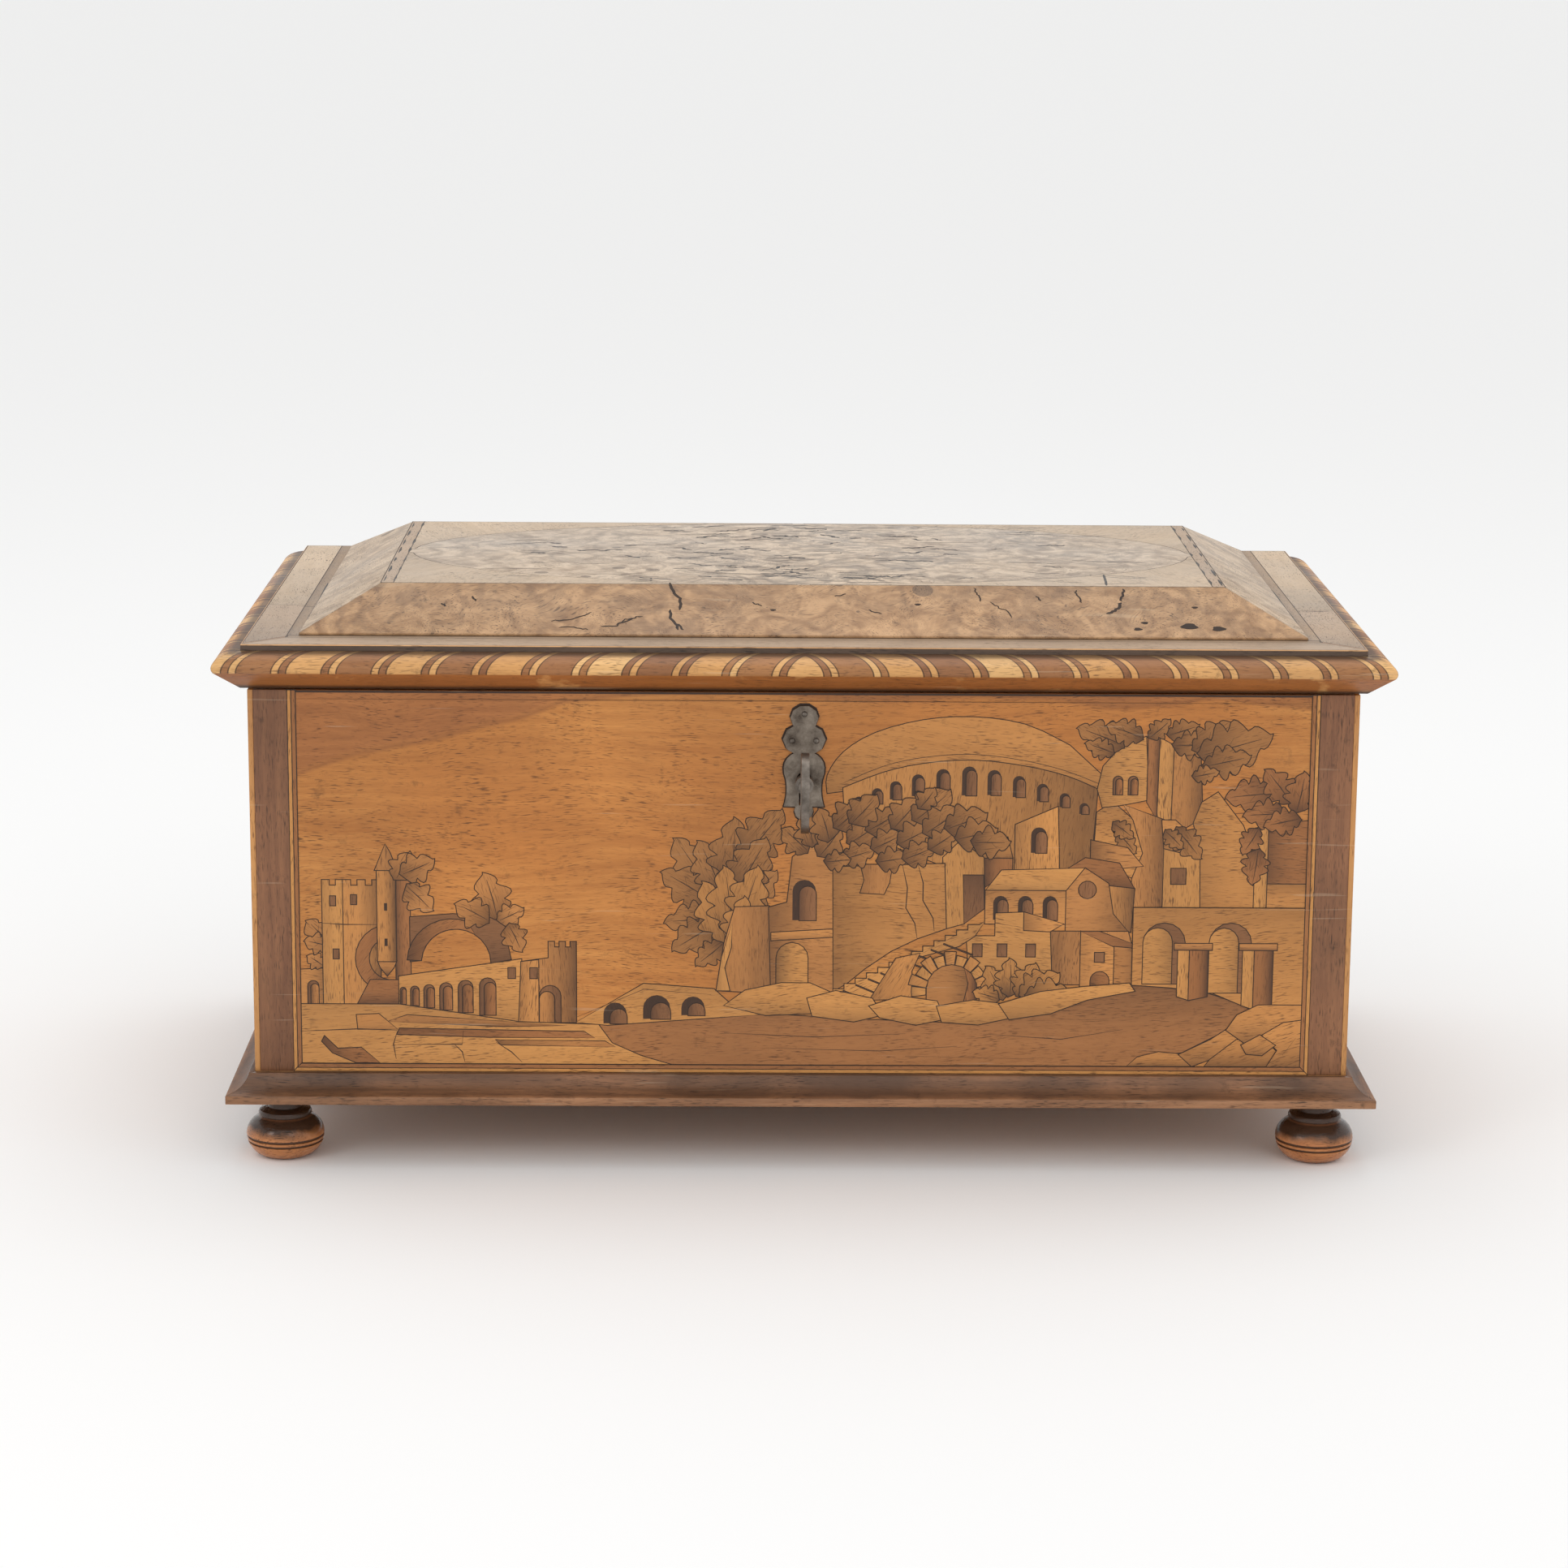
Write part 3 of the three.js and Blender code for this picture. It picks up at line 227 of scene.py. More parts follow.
old_polish, n, given, result = new_group(
    "old polish",
    [("Place", VECTOR, None)],
    [("Blotch", FLOAT), ("Dirt", FLOAT), ("Scratch", FLOAT)],
)
blotch = n("ShaderNodeTexNoise", {"Vector": given["Place"], "Scale": 16.0, "Detail": 5.0, "Roughness": 0.6})
dirt = n("ShaderNodeTexNoise", {"Vector": given["Place"], "Scale": 170.0, "Detail": 5.0, "Roughness": 0.7})
thin = n("ShaderNodeVectorMath", {0: given["Place"], 1: (1.0, 1.0, 26.0)}, operation="MULTIPLY")
scratch = n("ShaderNodeTexNoise", {"Vector": thin.outputs[0], "Scale": 22.0, "Detail": 2.0})
dirt = ramp(n, dirt.outputs["Fac"], 0.6, 0.74)
scratch = ramp(n, scratch.outputs["Fac"], 0.7, 0.74)
set_inputs(old_polish, result, {"Blotch": blotch.outputs["Fac"], "Dirt": dirt, "Scratch": scratch})


def wood(name, light, dark, pore, turn=(0, 0, 0), streak=0.004, curl=0.004, gloss=0.42, base=None,
         place=None, shade=(0.86, 1.12), grime=0.35):
    """A wood material. turn lays the grain, which runs along X, another way; base and place stand in
    for its light tone and for the point that the grain is worked out from."""
    material, tree, shader = new_material(name)
    node = chain(tree)
    mix = mixer(node)
    where = node("ShaderNodeTexCoord").outputs["Object"]
    start = place(node) if place else where
    turned = node("ShaderNodeMapping", {"Vector": start, "Rotation": turn}).outputs[0]
    lie = {"Place": turned, "Streak": streak, "Curl": curl}
    figure = node("ShaderNodeGroup", lie, node_tree=wood_figure)
    polish = node("ShaderNodeGroup", {"Place": where}, node_tree=old_polish)
    pale, deep = base(node, mix, where) if base else (colour(light), colour(dark))
    grain = times(node, figure.outputs["Figure"], 0.72)
    grain = plus(node, grain, times(node, figure.outputs["Broad"], 0.28))
    body = mix(grain, deep, pale)
    body = mix(times(node, figure.outputs["Pores"], 0.8), body, colour(pore))
    level = ramp(node, polish.outputs["Blotch"], 0.3, 0.7, *shade)
    tint = node("ShaderNodeCombineColor", {0: level, 1: level, 2: level}).outputs[0]
    body = mix(1.0, body, tint, "MULTIPLY")
    body = mix(times(node, polish.outputs["Dirt"], grime), body, colour("24170f"))
    body = mix(times(node, polish.outputs["Scratch"], 0.16), body, colour("d8c2a4"))
    rough = ramp(node, polish.outputs["Blotch"], 0.3, 0.7, gloss - 0.08, gloss + 0.14)
    bump = node("ShaderNodeBump", {"Height": figure.outputs["Height"], "Strength": 0.25, "Distance": 0.0003})
    set_inputs(tree, shader, {
        "Base Color": body, "Roughness": rough, "Normal": bump.outputs[0],
        "Specular IOR Level": 0.35, "Coat Weight": 0.08, "Coat Roughness": 0.3,
    })
    return material


UPRIGHT = (0, math.radians(90), 0)
INWARD = (0, 0, math.radians(90))


# Every joined piece starts from its shape in the design, with its sharp arrises eased.
def copied(node_name, name, material):
    """A copy of a design piece with its doubles merged, left in edit mode."""
    bpy.ops.object.select_all(action="DESELECT")
    copy = bpy.data.objects.new(name, frame["nodes"][node_name].data.copy())
    bpy.context.scene.collection.objects.link(copy)
    copy.data.materials.clear()
    copy.data.materials.append(material)
    bpy.context.view_layer.objects.active = copy
    copy.select_set(True)
    bpy.ops.object.mode_set(mode="EDIT")
    bpy.ops.mesh.select_all(action="SELECT")
    bpy.ops.mesh.remove_doubles(threshold=0.000002)
    return copy


def eased(node_name, material, width=0.25, sides=2, angle=32):
    """A copy of a design piece with its edges rounded."""
    body, slot = frame["nodes"][node_name]["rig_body"], slot_of[node_name]
    copy = copied(node_name, node_name + "_piece", material)
    bpy.ops.mesh.dissolve_limited(angle_limit=math.radians(0.6))
    bpy.ops.object.mode_set(mode="OBJECT")
    edge = copy.modifiers.new("eased", "BEVEL")
    edge.width = width * MM
    edge.segments = sides
    edge.limit_method = "ANGLE"
    edge.angle_limit = math.radians(angle)
    bpy.ops.object.modifier_apply(modifier="eased")
    bpy.ops.object.shade_smooth_by_angle(angle=math.radians(angle))
    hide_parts(node_name)
    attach(copy, body)
    return copy


slot_of = {row["node"]: row["material_slot"] for row in frame["record"]["subparts"]}

# ---- Carcase: softwood boards, planed, butted and glued: the bottom, the front, the two ends and a
# partition beside the levers. The back board shows, so it is stained walnut.
pine = wood("stained pine", "b98350", "8f5f35", "5a3a20", streak=0.006, gloss=0.6)
pine_upright = wood("stained pine, ends", "b17c4b", "8a5a33", "523620", turn=INWARD, streak=0.006, gloss=0.6)
back_walnut = wood("walnut back", "8f6b4d", "5f4530", "33231a", streak=0.007, curl=0.02)
for node_name in ("bottom_board", "front_board", "lever_partition"):
    eased(node_name, pine)
for node_name in ("left_board", "right_board"):
    eased(node_name, pine_upright)
eased("back_board", back_walnut)

# ---- Stiles: walnut strips, glued upright over the front corners, where they hide the joints of the
# carcase. Handling has darkened them in patches.
stile_walnut = wood(
    "walnut stile", "9a6a48", "6f4833", "352216", turn=UPRIGHT, streak=0.003, shade=(0.72, 1.2), grime=0.5
)
for side in ("left", "right"):
    eased("stile_front_" + side, stile_walnut, 0.12)


# ---- Plinth: walnut moulding mitred round the foot of the case, dark in its hollow with dirt and
# worn back to brown wood along the fillet at its lower edge.
plinth_low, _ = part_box("plinth_front")
FILLET_TOP = (0.0039, 0.0052)


def worn_fillet(node, mix, where):
    height = node("ShaderNodeSeparateXYZ", {0: where}).outputs["Z"]
    rub = noise(node, where, 70.0, 4.0)
    edge = plus(node, height, times(node, rub, 0.0022))
    up = ramp(node, edge, plinth_low.z + FILLET_TOP[0], plinth_low.z + FILLET_TOP[1])
    sooty = noise(node, where, 24.0, 4.0)
    hollow = mix(ramp(node, sooty, 0.36, 0.62), colour("a0714f"), colour("5f4534"))
    pale = mix(up, colour("b9865f"), hollow)
    deep = mix(up, colour("7a5439"), colour("5c4130"))
    return pale, deep


plinth_look = {"streak": 0.003, "base": worn_fillet, "shade": (0.8, 1.2), "grime": 0.5}
plinth_walnut = wood("walnut plinth", "", "", "281a12", **plinth_look)
plinth_side = wood("walnut plinth, ends", "", "", "281a12", turn=INWARD, **plinth_look)
for side in ("front", "back", "left", "right"):
    eased("plinth_" + side, plinth_walnut if side in ("front", "back") else plinth_side, 0.2, angle=40)


# ---- Panels: sawn fruitwood, honey coloured, with long straight figure and short dark pores. A band of
# redder heartwood crosses the top left of the front.
HEARTWOOD_X, HEARTWOOD_UP = (-0.195, -0.09), (0.117, 0.146)


def heartwood(node, mix, where):
    split = node("ShaderNodeSeparateXYZ", {0: where})
    wave = noise(node, where, 11.0, 2.0)
    low_end, high_end = (case_z + up for up in HEARTWOOD_UP)
    slope = ramp(node, split.outputs["X"], *HEARTWOOD_X, low_end, high_end)
    edge = plus(node, slope, times(node, minus(node, wave, 0.5), 0.02))
    above = minus(node, split.outputs["Z"], edge)
    red = ramp(node, above, -0.001, 0.0035, 0.0, 0.75)
    ring = unsigned(node, minus(node, above, 0.001))
    line = ramp(node, ring, 0.0, 0.0016, 0.5, 0.0)
    glow = noise(node, where, 9.0, 2.0)
    honey = mix(ramp(node, glow, 0.38, 0.62), colour("c6803d"), colour("d1904b"))
    pale = mix(red, honey, colour("ac6c3c"))
    pale = mix(line, pale, colour("73452a"))
    return pale, mix(red, colour("a8682f"), colour("8a532c"))


fruitwood = wood("fruitwood ground", "", "", "4e2c14", streak=0.0026, curl=0.012, gloss=0.4, base=heartwood)
fruitwood_side = wood(
    "fruitwood ground, ends", "cc8a48", "a5682f", "4e2c14", turn=INWARD, streak=0.0035, curl=0.03
)
fruitwood_low = wood("fruitwood, sawn edges", "d39a5e", "b07843", "7a4c28", turn=UPRIGHT, streak=0.003)
eased("front_marquetry_panel", fruitwood, 0.05, 1)
for side in ("left", "right"):
    panel = eased(side + "_marquetry_panel", fruitwood_side, 0.15)
    # The sawn front edge of each side veneer shows as a pale strip beside the stile.
    panel.data.materials.append(fruitwood_low)
    for face in panel.data.polygons:
        if face.normal.y < -0.5:
            face.material_index = 1

# ---- Front picture: sawn veneers let into the ground in the way of old marquetry. Each piece was cut with
# a fretsaw, scorched along one side in hot sand and glued in, so dark glue shows all round it.
KERF = 0.36
LAYER = 0.004
NEAR = 0.4
random.seed(41)
tones = {
    "honey": "c98b4b", "pale": "cf9250", "straw": "c98a4b", "tan": "bb7f46", "brown": "a1693b",
    "umber": "8a5d3a", "dark_fill_and_shade": "3f2a1c", "olive": "a6713e", "leaf": "b87f44", "water": "a87040",
}
laid = []


def piece(points, tone="straw", grain=0, heat=None):
    """Lays a piece over the earlier ones. heat is the scorched side, L, R, T or B, and how dark it is."""
    xs, zs = zip(*points)
    box = (min(xs), max(xs), min(zs), max(zs))
    under = [
        row["layer"] for row in laid
        if row["box"][0] < box[1] + NEAR and row["box"][1] > box[0] - NEAR
        and row["box"][2] < box[3] + NEAR and row["box"][3] > box[2] - NEAR
    ]
    area = sum(a[0] * b[1] - b[0] * a[1] for a, b in zip(points, points[1:] + points[:1]))
    points = points if area > 0 else points[::-1]
    layer = 1 + max(under, default=0)
    laid.append({"points": points, "tone": tone, "grain": grain, "heat": heat, "box": box, "layer": layer})


def block(x0, x1, z0, z1):
    return [(x0, z0), (x1, z0), (x1, z1), (x0, z1)]


def arc(x, z, radius, start, end, steps=8, tall=1.0):
    turns = [math.radians(start + (end - start) * i / steps) for i in range(steps + 1)]
    return [(x + radius * math.cos(a), z + radius * tall * math.sin(a)) for a in turns]


def smooth(points, steps=3):
    """More points between the given ones, on a curve that passes through them."""
    ends = [points[0]] + list(points) + [points[-1]]
    out = []
    for a, b, c, d in zip(ends, ends[1:], ends[2:], ends[3:]):
        for i in range(steps):
            t = i / steps
            out.append(tuple(
                b[k] + t * (c[k] - a[k]) / 2 + t * t * (a[k] - 2.5 * b[k] + 2 * c[k] - d[k] / 2)
                + t ** 3 * (-a[k] / 2 + 1.5 * b[k] - 1.5 * c[k] + d[k] / 2) for k in (0, 1)
            ))
    return out + [points[-1]]


def doorway(x0, x1, z0, z1):
    """An opening with a round head."""
    half = (x1 - x0) / 2
    return [(x0, z0), (x1, z0)] + arc((x0 + x1) / 2, z1 - half, half, 0, 180)


def opening(x0, x1, z0, z1, tone="brown", side="L"):
    """A doorway or window with its lit reveal on one side."""
    piece(doorway(x0, x1, z0, z1), "dark_fill_and_shade" if tone == "umber" else "umber", 90, (side, 0.5))
    wide = (x1 - x0) * 0.3
    inner = doorway(x0 + wide, x1, z0, z1 - wide) if side == "L" else doorway(x0, x1 - wide, z0, z1 - wide)
    piece(inner, tone, 90, (side, 0.7))


def stroke(points, width=0.45, tone="dark_fill_and_shade"):
    """A line engraved with a fine saw and filled with dark glue."""
    half = width / 2
    left, right = [], []
    for i, (x, z) in enumerate(points):
        (ax, az), (bx, bz) = points[max(i - 1, 0)], points[min(i + 1, len(points) - 1)]
        length = math.hypot(bx - ax, bz - az)
        nx, nz = -(bz - az) / length, (bx - ax) / length
        end = 0.35 if i in (0, len(points) - 1) else 1.0
        left.append((x + nx * half * end, z + nz * half * end))
        right.append((x - nx * half * end, z - nz * half * end))
    piece(left + right[::-1], tone, 0)


def leaf(x, z, tip_x, tip_z, wide=0.34, lobes=3, tone="leaf", dark=0.8):
    """A lobed leaf from its stalk to its tip, scorched at the stalk, with its midrib engraved."""
    length, turn = math.hypot(tip_x - x, tip_z - z), math.atan2(tip_z - z, tip_x - x)
    steps = lobes * 6
    shape = []
    for side in (1, -1):
        for i in range(steps + 1):
            t = i / steps if side > 0 else 1 - i / steps
            if side < 0 and i in (0, steps):
                continue
            lobe = 0.42 + 0.58 * abs(math.sin(math.pi * (lobes * t + 0.12 * side))) ** 0.8
            half = wide * 1.25 * length * math.sin(math.pi * min(max(t, 0.03), 0.97) ** 0.85) * lobe * side
            reach = t * length * (1 + 0.03 * math.sin(9 * t))
            shape.append((
                x + reach * math.cos(turn) - half * math.sin(turn),
                z + reach * math.sin(turn) + half * math.cos(turn),
            ))
    piece(shape, tone, math.degrees(turn), ((math.cos(turn), math.sin(turn)), dark))
    mid = [(x + (tip_x - x) * t + 0.4 * math.sin(3 * t), z + (tip_z - z) * t) for t in (0.08, 0.45, 0.85)]
    stroke(mid, 0.42)
    for t, side in ((0.4, 1), (0.52, -1)):
        fx, fz = x + (tip_x - x) * t, z + (tip_z - z) * t
        swing = turn + side * 0.8
        reach = wide * length * 0.55
        stroke([(fx, fz), (fx + reach * math.cos(swing), fz + reach * math.sin(swing))], 0.28)


NOTCH = 2.2


def battlement(x0, x1, z0, z1, teeth):
    """A wall with a notched top."""
    step = (x1 - x0) / (2 * teeth - 1)
    top = []
    for i in range(2 * teeth - 1):
        height = z1 if i % 2 == 0 else z1 - NOTCH
        top += [(x0 + i * step, height), (x0 + (i + 1) * step, height)]
    return [(x1, z0)] + top[::-1] + [(x0, z0)]


# the small house, the walled town and its towers, on the left
piece([(-193, 27), (-183, 27), (-184, 41), (-193, 40.5)], "straw", 0, ("R", 0.6))
opening(-190, -186, 27, 36, "tan")
for shape in ((-181, 50, -190, 60), (-182, 50, -191, 52), (-184, 42, -190, 46)):
    leaf(*shape, wide=0.4, tone="tan", dark=0.6)
piece(battlement(-184, -176, 27, 76, 2), "pale", 90, ("L", 0.25))
piece(battlement(-176, -162, 27, 76, 3), "straw", 90, ("R", 0.75))
stroke([(-184, 59), (-176, 58.5), (-163, 58.5)])
for x, z in ((-181, 66), (-173, 66.5), (-180, 45)):
    piece(block(x, x + 2, z, z + 3.6), "umber", 90)
piece([(-156, 36), (-150.5, 38), (-150.5, 76), (-156, 78)], "brown", 90, ("L", 0.8))
piece(arc(-158, 45, 13.5, 95, 262, 12) + arc(-158, 45, 8.5, 262, 95, 12), "brown", 45, ("R", 0.8))
piece([(-171, 27), (-155, 27), (-155, 36.5), (-166, 36.5)], "brown", 0, ("B", 0.7))
piece([(-163, 44), (-162, 41.5), (-159.5, 38.3), (-157, 41.5), (-156, 44)], "tan", 0, ("B", 0.9))
piece(block(-163, -156, 44, 80), "straw", 90, ("R", 0.85))
piece([(-163.7, 80), (-155.3, 80), (-158, 87), (-159.7, 90)], "tan", 90, ("R", 0.6))
for z in (50, 64):
    piece(block(-160.4, -159.2, z, z + 3), "dark_fill_and_shade", 90)
for shape in ((-156, 76, -150, 87), (-154, 78, -141, 84), (-152, 74, -142, 64)):
    leaf(*shape, wide=0.36, tone="tan")
ruin = [(-150.5, 61.5), (-134, 62.8), (-115, 61), (-112.5, 57), (-113.5, 52), (-112, 45), (-119.5, 43.5)]
piece(ruin + arc(-133, 43.5, 13.5, 0, 176, 12) + [(-150.5, 44)], "umber", 0, ("B", 0.5))
piece(arc(-133, 43.5, 13.5, 58, 176, 9) + arc(-134.5, 43.5, 17.2, 176, 70, 9), "brown", 30, ("L", 0.8))
for shape in ((-117, 61, -122, 79), (-120, 60, -133, 67), (-117, 60, -107, 65), (-113, 59, -108, 48)):
    leaf(*shape, wide=0.36, tone="tan", dark=0.9)
piece([(-155, 27), (-109, 20), (-108, 45), (-155, 38)], "pale", 0, ("B", 0.3))
for x, wide, low, high in (
    (-153.5, 2.0, 27.0, 33.5), (-149.0, 3.0, 26.5, 34), (-143.5, 3.8, 25.7, 34.6),
    (-137.0, 4.6, 24.8, 35.4), (-129.5, 5.4, 23.8, 36.4), (-121.0, 6.0, 22.8, 37.4),
):
    opening(x - wide / 2, x + wide / 2, low, high)
gate = battlement(-97.5, -87, 42, 52, 3)
piece([(-109, 20), (-87, 20)] + gate[:-1] + [(-97.5, 45.5), (-108, 44)], "tan", 90, ("R", 0.8))
piece([(-109, 20), (-101.5, 20), (-101.5, 44.7), (-108, 44)], "straw", 90, ("L", 0.35))
opening(-101, -93, 20, 34.5, "tan", "R")
for x in (-113, -104.6):
    piece(block(x, x + 2.6, 37.5, 41.5), "umber", 90)

# paving in front of the town
paving = [(-193, 3.4), (-193, 26.8), (-155, 26.8), (-109, 20), (-78, 19), (-73, 12), (-62, 7), (-50, 3.4)]
piece(paving, "pale", 0, ("T", 0.22))
piece([(-155, 17.2), (-84, 16.2), (-80, 13.8), (-120, 14), (-156, 15)], "brown", 0, ("L", 0.5))
piece([(-116, 11), (-72, 10.2), (-76, 12.4), (-118, 12.8)], "tan", 0, ("L", 0.6))
piece([(-160, 20), (-115, 18.3), (-90, 18.6), (-152, 22.6)], "tan", 0, ("B", 0.5))
piece([(-171, 17), (-156, 17), (-163, 23), (-171.5, 22.6)], "straw", 0, ("B", 0.25))
bank = [(-184, 14), (-179, 9), (-170, 9.5), (-163, 3.6), (-172, 3.6), (-181, 7.5), (-185, 12)]
piece(bank, "brown", 0, ("L", 0.8))
for line in (
    ((-193, 16), (-171, 17), (-156, 16.5)), ((-156, 10.8), (-131, 11), (-130.5, 16.5)),
    ((-156, 16), (-157.5, 11), (-156.5, 5)), ((-134, 11), (-131, 8), (-130, 4)),
    ((-118, 12), (-112, 8), (-108, 4)),
):
    stroke(line)

# the river with its bridge and pale banks
river = [(-78, 19), (-63, 22), (-36, 25), (-3, 23), (26, 21.5), (53, 20.5), (77, 21.5), (99, 27.5)]
river += [(129, 36), (155, 33), (173, 27), (166, 19), (147, 9), (134, 7), (127, 3.4)]
river += [(-50, 3.4), (-62, 7), (-73, 12)]
piece(river, "water", 0, ("T", 0.55))
for line in (
    ((-30, 16), (5, 14.5), (40, 16)), ((-12, 10), (30, 9), (60, 11)),
    ((70, 16), (100, 14), (124, 18)), ((40, 7), (90, 6)),
):
    stroke(line, 0.3)
bridge = [(-87, 20), (-61, 35.5), (-34, 33.5), (-27, 27), (-14, 23.5), (-36, 22), (-75, 19)]
piece(bridge, "pale", 0, ("T", 0.2))
for x, wide, low, high in ((-72, 9, 19.6, 28), (-56, 10.5, 21.5, 31), (-42, 9, 23, 30.5)):
    opening(x - wide / 2, x + wide / 2, low, high, "umber")
stroke([(-87, 22), (-61, 33.3), (-35, 31.3)], 0.22)

# the oak and its stump
for shape in (
    (-34, 70, -49, 93), (-34, 68, -54, 80), (-31, 72, -40, 92), (-33, 62, -53, 60), (-33, 60, -50, 49),
    (-30, 52, -41, 43), (-25, 66, -10, 80), (-28, 74, -26, 101), (-24, 84, -8, 104), (-26, 72, -14, 93),
):
    leaf(*shape, wide=0.3, lobes=4, tone="olive", dark=1.0)
for shape in ((-29, 52, -38, 76), (-27, 55, -30, 82), (-25, 58, -17, 82), (-27, 50, -22, 70)):
    leaf(*shape, wide=0.27, lobes=4, tone="leaf", dark=0.7)
piece([(-33, 33), (-30, 52), (-26, 66), (-13, 66.5), (-12, 32)], "tan", 90, ("R", 0.55))
piece([(-33, 33), (-31, 46), (-27, 60), (-27.5, 50), (-30, 42), (-28, 33)], "pale", 90, ("L", 0.3))

# the broken wall with its window, right of the oak
broken = [(-12, 32), (-13, 66), (-6, 68), (-4, 86), (2, 90), (6, 96), (10, 93), (9, 84), (12, 82), (12, 32)]
piece(broken, "tan", 0, ("L", 0.6))
opening(-4, 5, 61, 77, "umber")
piece([(-12, 56), (12, 57.5), (12, 54.5), (-12, 53)], "straw", 0, ("B", 0.5))
piece(doorway(-10, 2, 33, 52), "pale", 0, ("L", 0.7))

# the great rotunda behind the leaves
dome = [(9, 111), (9, 118), (15, 127), (27, 134.5), (45, 139.5), (64, 140.8), (84, 138), (101, 130)]
piece(smooth(dome) + [(113, 119), (117, 113), (111, 111), (60, 118)], "honey", 0, ("B", 0.35))
drum = smooth([(15, 113), (30, 119), (45, 122.5), (64, 124), (84, 121.8), (100, 118), (112, 113)])
drum += [(110, 82), (60, 80), (16, 98)]
piece(drum, "honey", 90, ("R", 0.7))
stroke(smooth([(15, 115), (30, 121.5), (45, 125), (64, 126.4), (84, 124), (100, 120), (114, 114.5)]), 0.24)
for i, x in enumerate((21, 28, 35, 43.5, 53, 63, 72.5, 82, 91, 99.5, 107)):
    tall = 11.5 - 0.16 * abs(x - 62)
    middle = 116 - 0.0052 * (x - 62) ** 2
    wide = 5.6 - 0.045 * abs(x - 62)
    opening(x - wide / 2, x + wide / 2, middle - tall / 2, middle + tall / 2, "umber")

# the ruin at the top right, under its crown of leaves
piece([(111, 84), (112, 104), (118, 108), (126, 101), (130, 88), (127, 78)], "honey", 0, ("T", 0.4))
apse = [(112, 113), (114, 122), (121, 130), (130, 133.5), (131.5, 109), (122, 107), (114, 106)]
piece(apse, "pale", 0, ("L", 0.35))
for x in (118, 123.8):
    opening(x, x + 3.4, 111, 118)
piece([(131, 108), (131, 134), (135.5, 133), (135, 101)], "brown", 90, ("R", 0.9))
piece([(135, 101), (135.5, 133), (141, 130), (140.5, 101.5)], "pale", 90, ("R", 0.3))
piece([(140.5, 101.5), (141, 130.5), (151, 125), (152, 108), (149, 100), (144, 97)], "tan", 90, ("R", 0.75))
pier = [(122, 107), (138, 101), (138, 67), (126, 66), (126, 78), (130, 88), (126, 101)]
piece(pier, "tan", 90, ("R", 0.7))
piece([(138, 66.5), (138, 101), (152, 88), (152.5, 66.5)], "pale", 90, ("L", 0.2))
piece([(137, 101), (142, 101), (154, 90), (152, 86.5), (138, 90)], "straw", 0, ("B", 0.8))
piece(block(141, 146.5, 76, 82), "umber", 90)
hill = [(152.5, 66.5), (152, 88), (149, 100), (152, 108), (158, 112), (168, 99), (174, 83), (173, 66)]
piece(hill, "honey", 0, ("L", 0.3))
piece([(173, 66), (173, 98), (178, 99.5), (178, 67)], "pale", 90, ("R", 0.3))
piece([(178, 76), (178, 99.5), (193, 101), (193, 76)], "brown", 0, ("L", 0.6))
piece([(178, 66), (178, 76), (193, 76), (193, 66)], "straw", 0, ("T", 0.4))
for shape in (
    (122, 130, 104, 137), (118, 127, 107, 131), (129, 133, 115, 138), (131, 133, 139, 140),
    (138, 134, 150, 138), (140, 130, 156, 131), (148, 128, 163, 139), (150, 126, 178, 134),
    (152, 122, 170, 126), (148, 118, 158, 120), (142, 98, 152, 86), (138, 97, 145, 90),
    (120, 96, 127, 88), (118, 100, 126, 94),
):
    leaf(*shape, wide=0.3, lobes=4, tone="olive", dark=0.9)
for shape in (
    (180, 112, 161, 110), (186, 108, 176, 121), (188, 104, 191, 120), (184, 104, 168, 103),
    (190, 102, 176, 99), (174, 98, 168, 88), (174, 90, 172, 76),
):
    leaf(*shape, wide=0.32, lobes=4, tone="brown", dark=0.95)

# houses on the hill
piece([(110, 82), (110, 93), (124, 90), (130, 83), (112, 81)], "tan", 0, ("L", 0.7))
piece([(97, 79), (108, 86), (121, 84), (127, 74), (112, 74)], "brown", 0, ("B", 0.7))
piece([(108, 57), (108, 76), (127, 74), (126, 57)], "straw", 90, ("R", 0.8))
piece([(81, 80), (81, 99), (97, 106), (98, 81)], "honey", 90, ("L", 0.45))
opening(87, 93, 88, 98, "umber")
piece([(69, 74), (69, 87), (80, 86), (80, 80), (75, 78)], "brown", 90, ("L", 0.9))
piece([(60, 93), (78, 94), (80, 86), (69, 86)], "straw", 0, ("B", 0.5))
piece([(55, 58), (53.5, 86), (60, 92.5), (69, 86), (69.5, 73), (62, 60)], "pale", 90, ("R", 0.35))
piece([(62, 60), (61.5, 79), (69, 79), (69.5, 66)], "umber", 90, ("T", 0.6))
piece([(70, 73), (76, 81), (108, 82), (101, 73)], "pale", 0, ("B", 0.35))
piece([(70, 60), (70, 73), (101, 73), (101, 60)], "straw", 0, ("T", 0.35))
for x in (73, 82.5, 92):
    opening(x, x + 5.6, 61.5, 71, "umber")
piece([(101, 57), (101, 73), (108, 82), (117, 76), (119, 64), (125, 57)], "tan", 0, ("R", 0.6))
piece(arc(109, 73.5, 3.3, 0, 345, 14), "umber", 90)
piece([(96, 36), (95, 57), (125, 57), (127, 50), (126, 36)], "tan", 90, ("L", 0.6))
house = [(64, 41), (63, 55), (74, 55), (74, 64), (85, 64.5), (85, 57.5), (95, 57), (96, 36)]
piece(house, "pale", 0, ("B", 0.3))
piece([(85, 57.5), (85, 64.5), (100, 60), (95, 57)], "straw", 0, ("L", 0.5))
for x in (65.5, 75, 86):
    piece(block(x, x + 3.4, 47, 51.8), "umber", 90, ("T", 0.3))
piece([(107, 35), (107, 57), (120, 51), (120, 35.5)], "straw", 0, ("L", 0.3))
piece([(107, 57), (114, 57), (133, 50), (120, 51)], "brown", 0, ("R", 0.6))
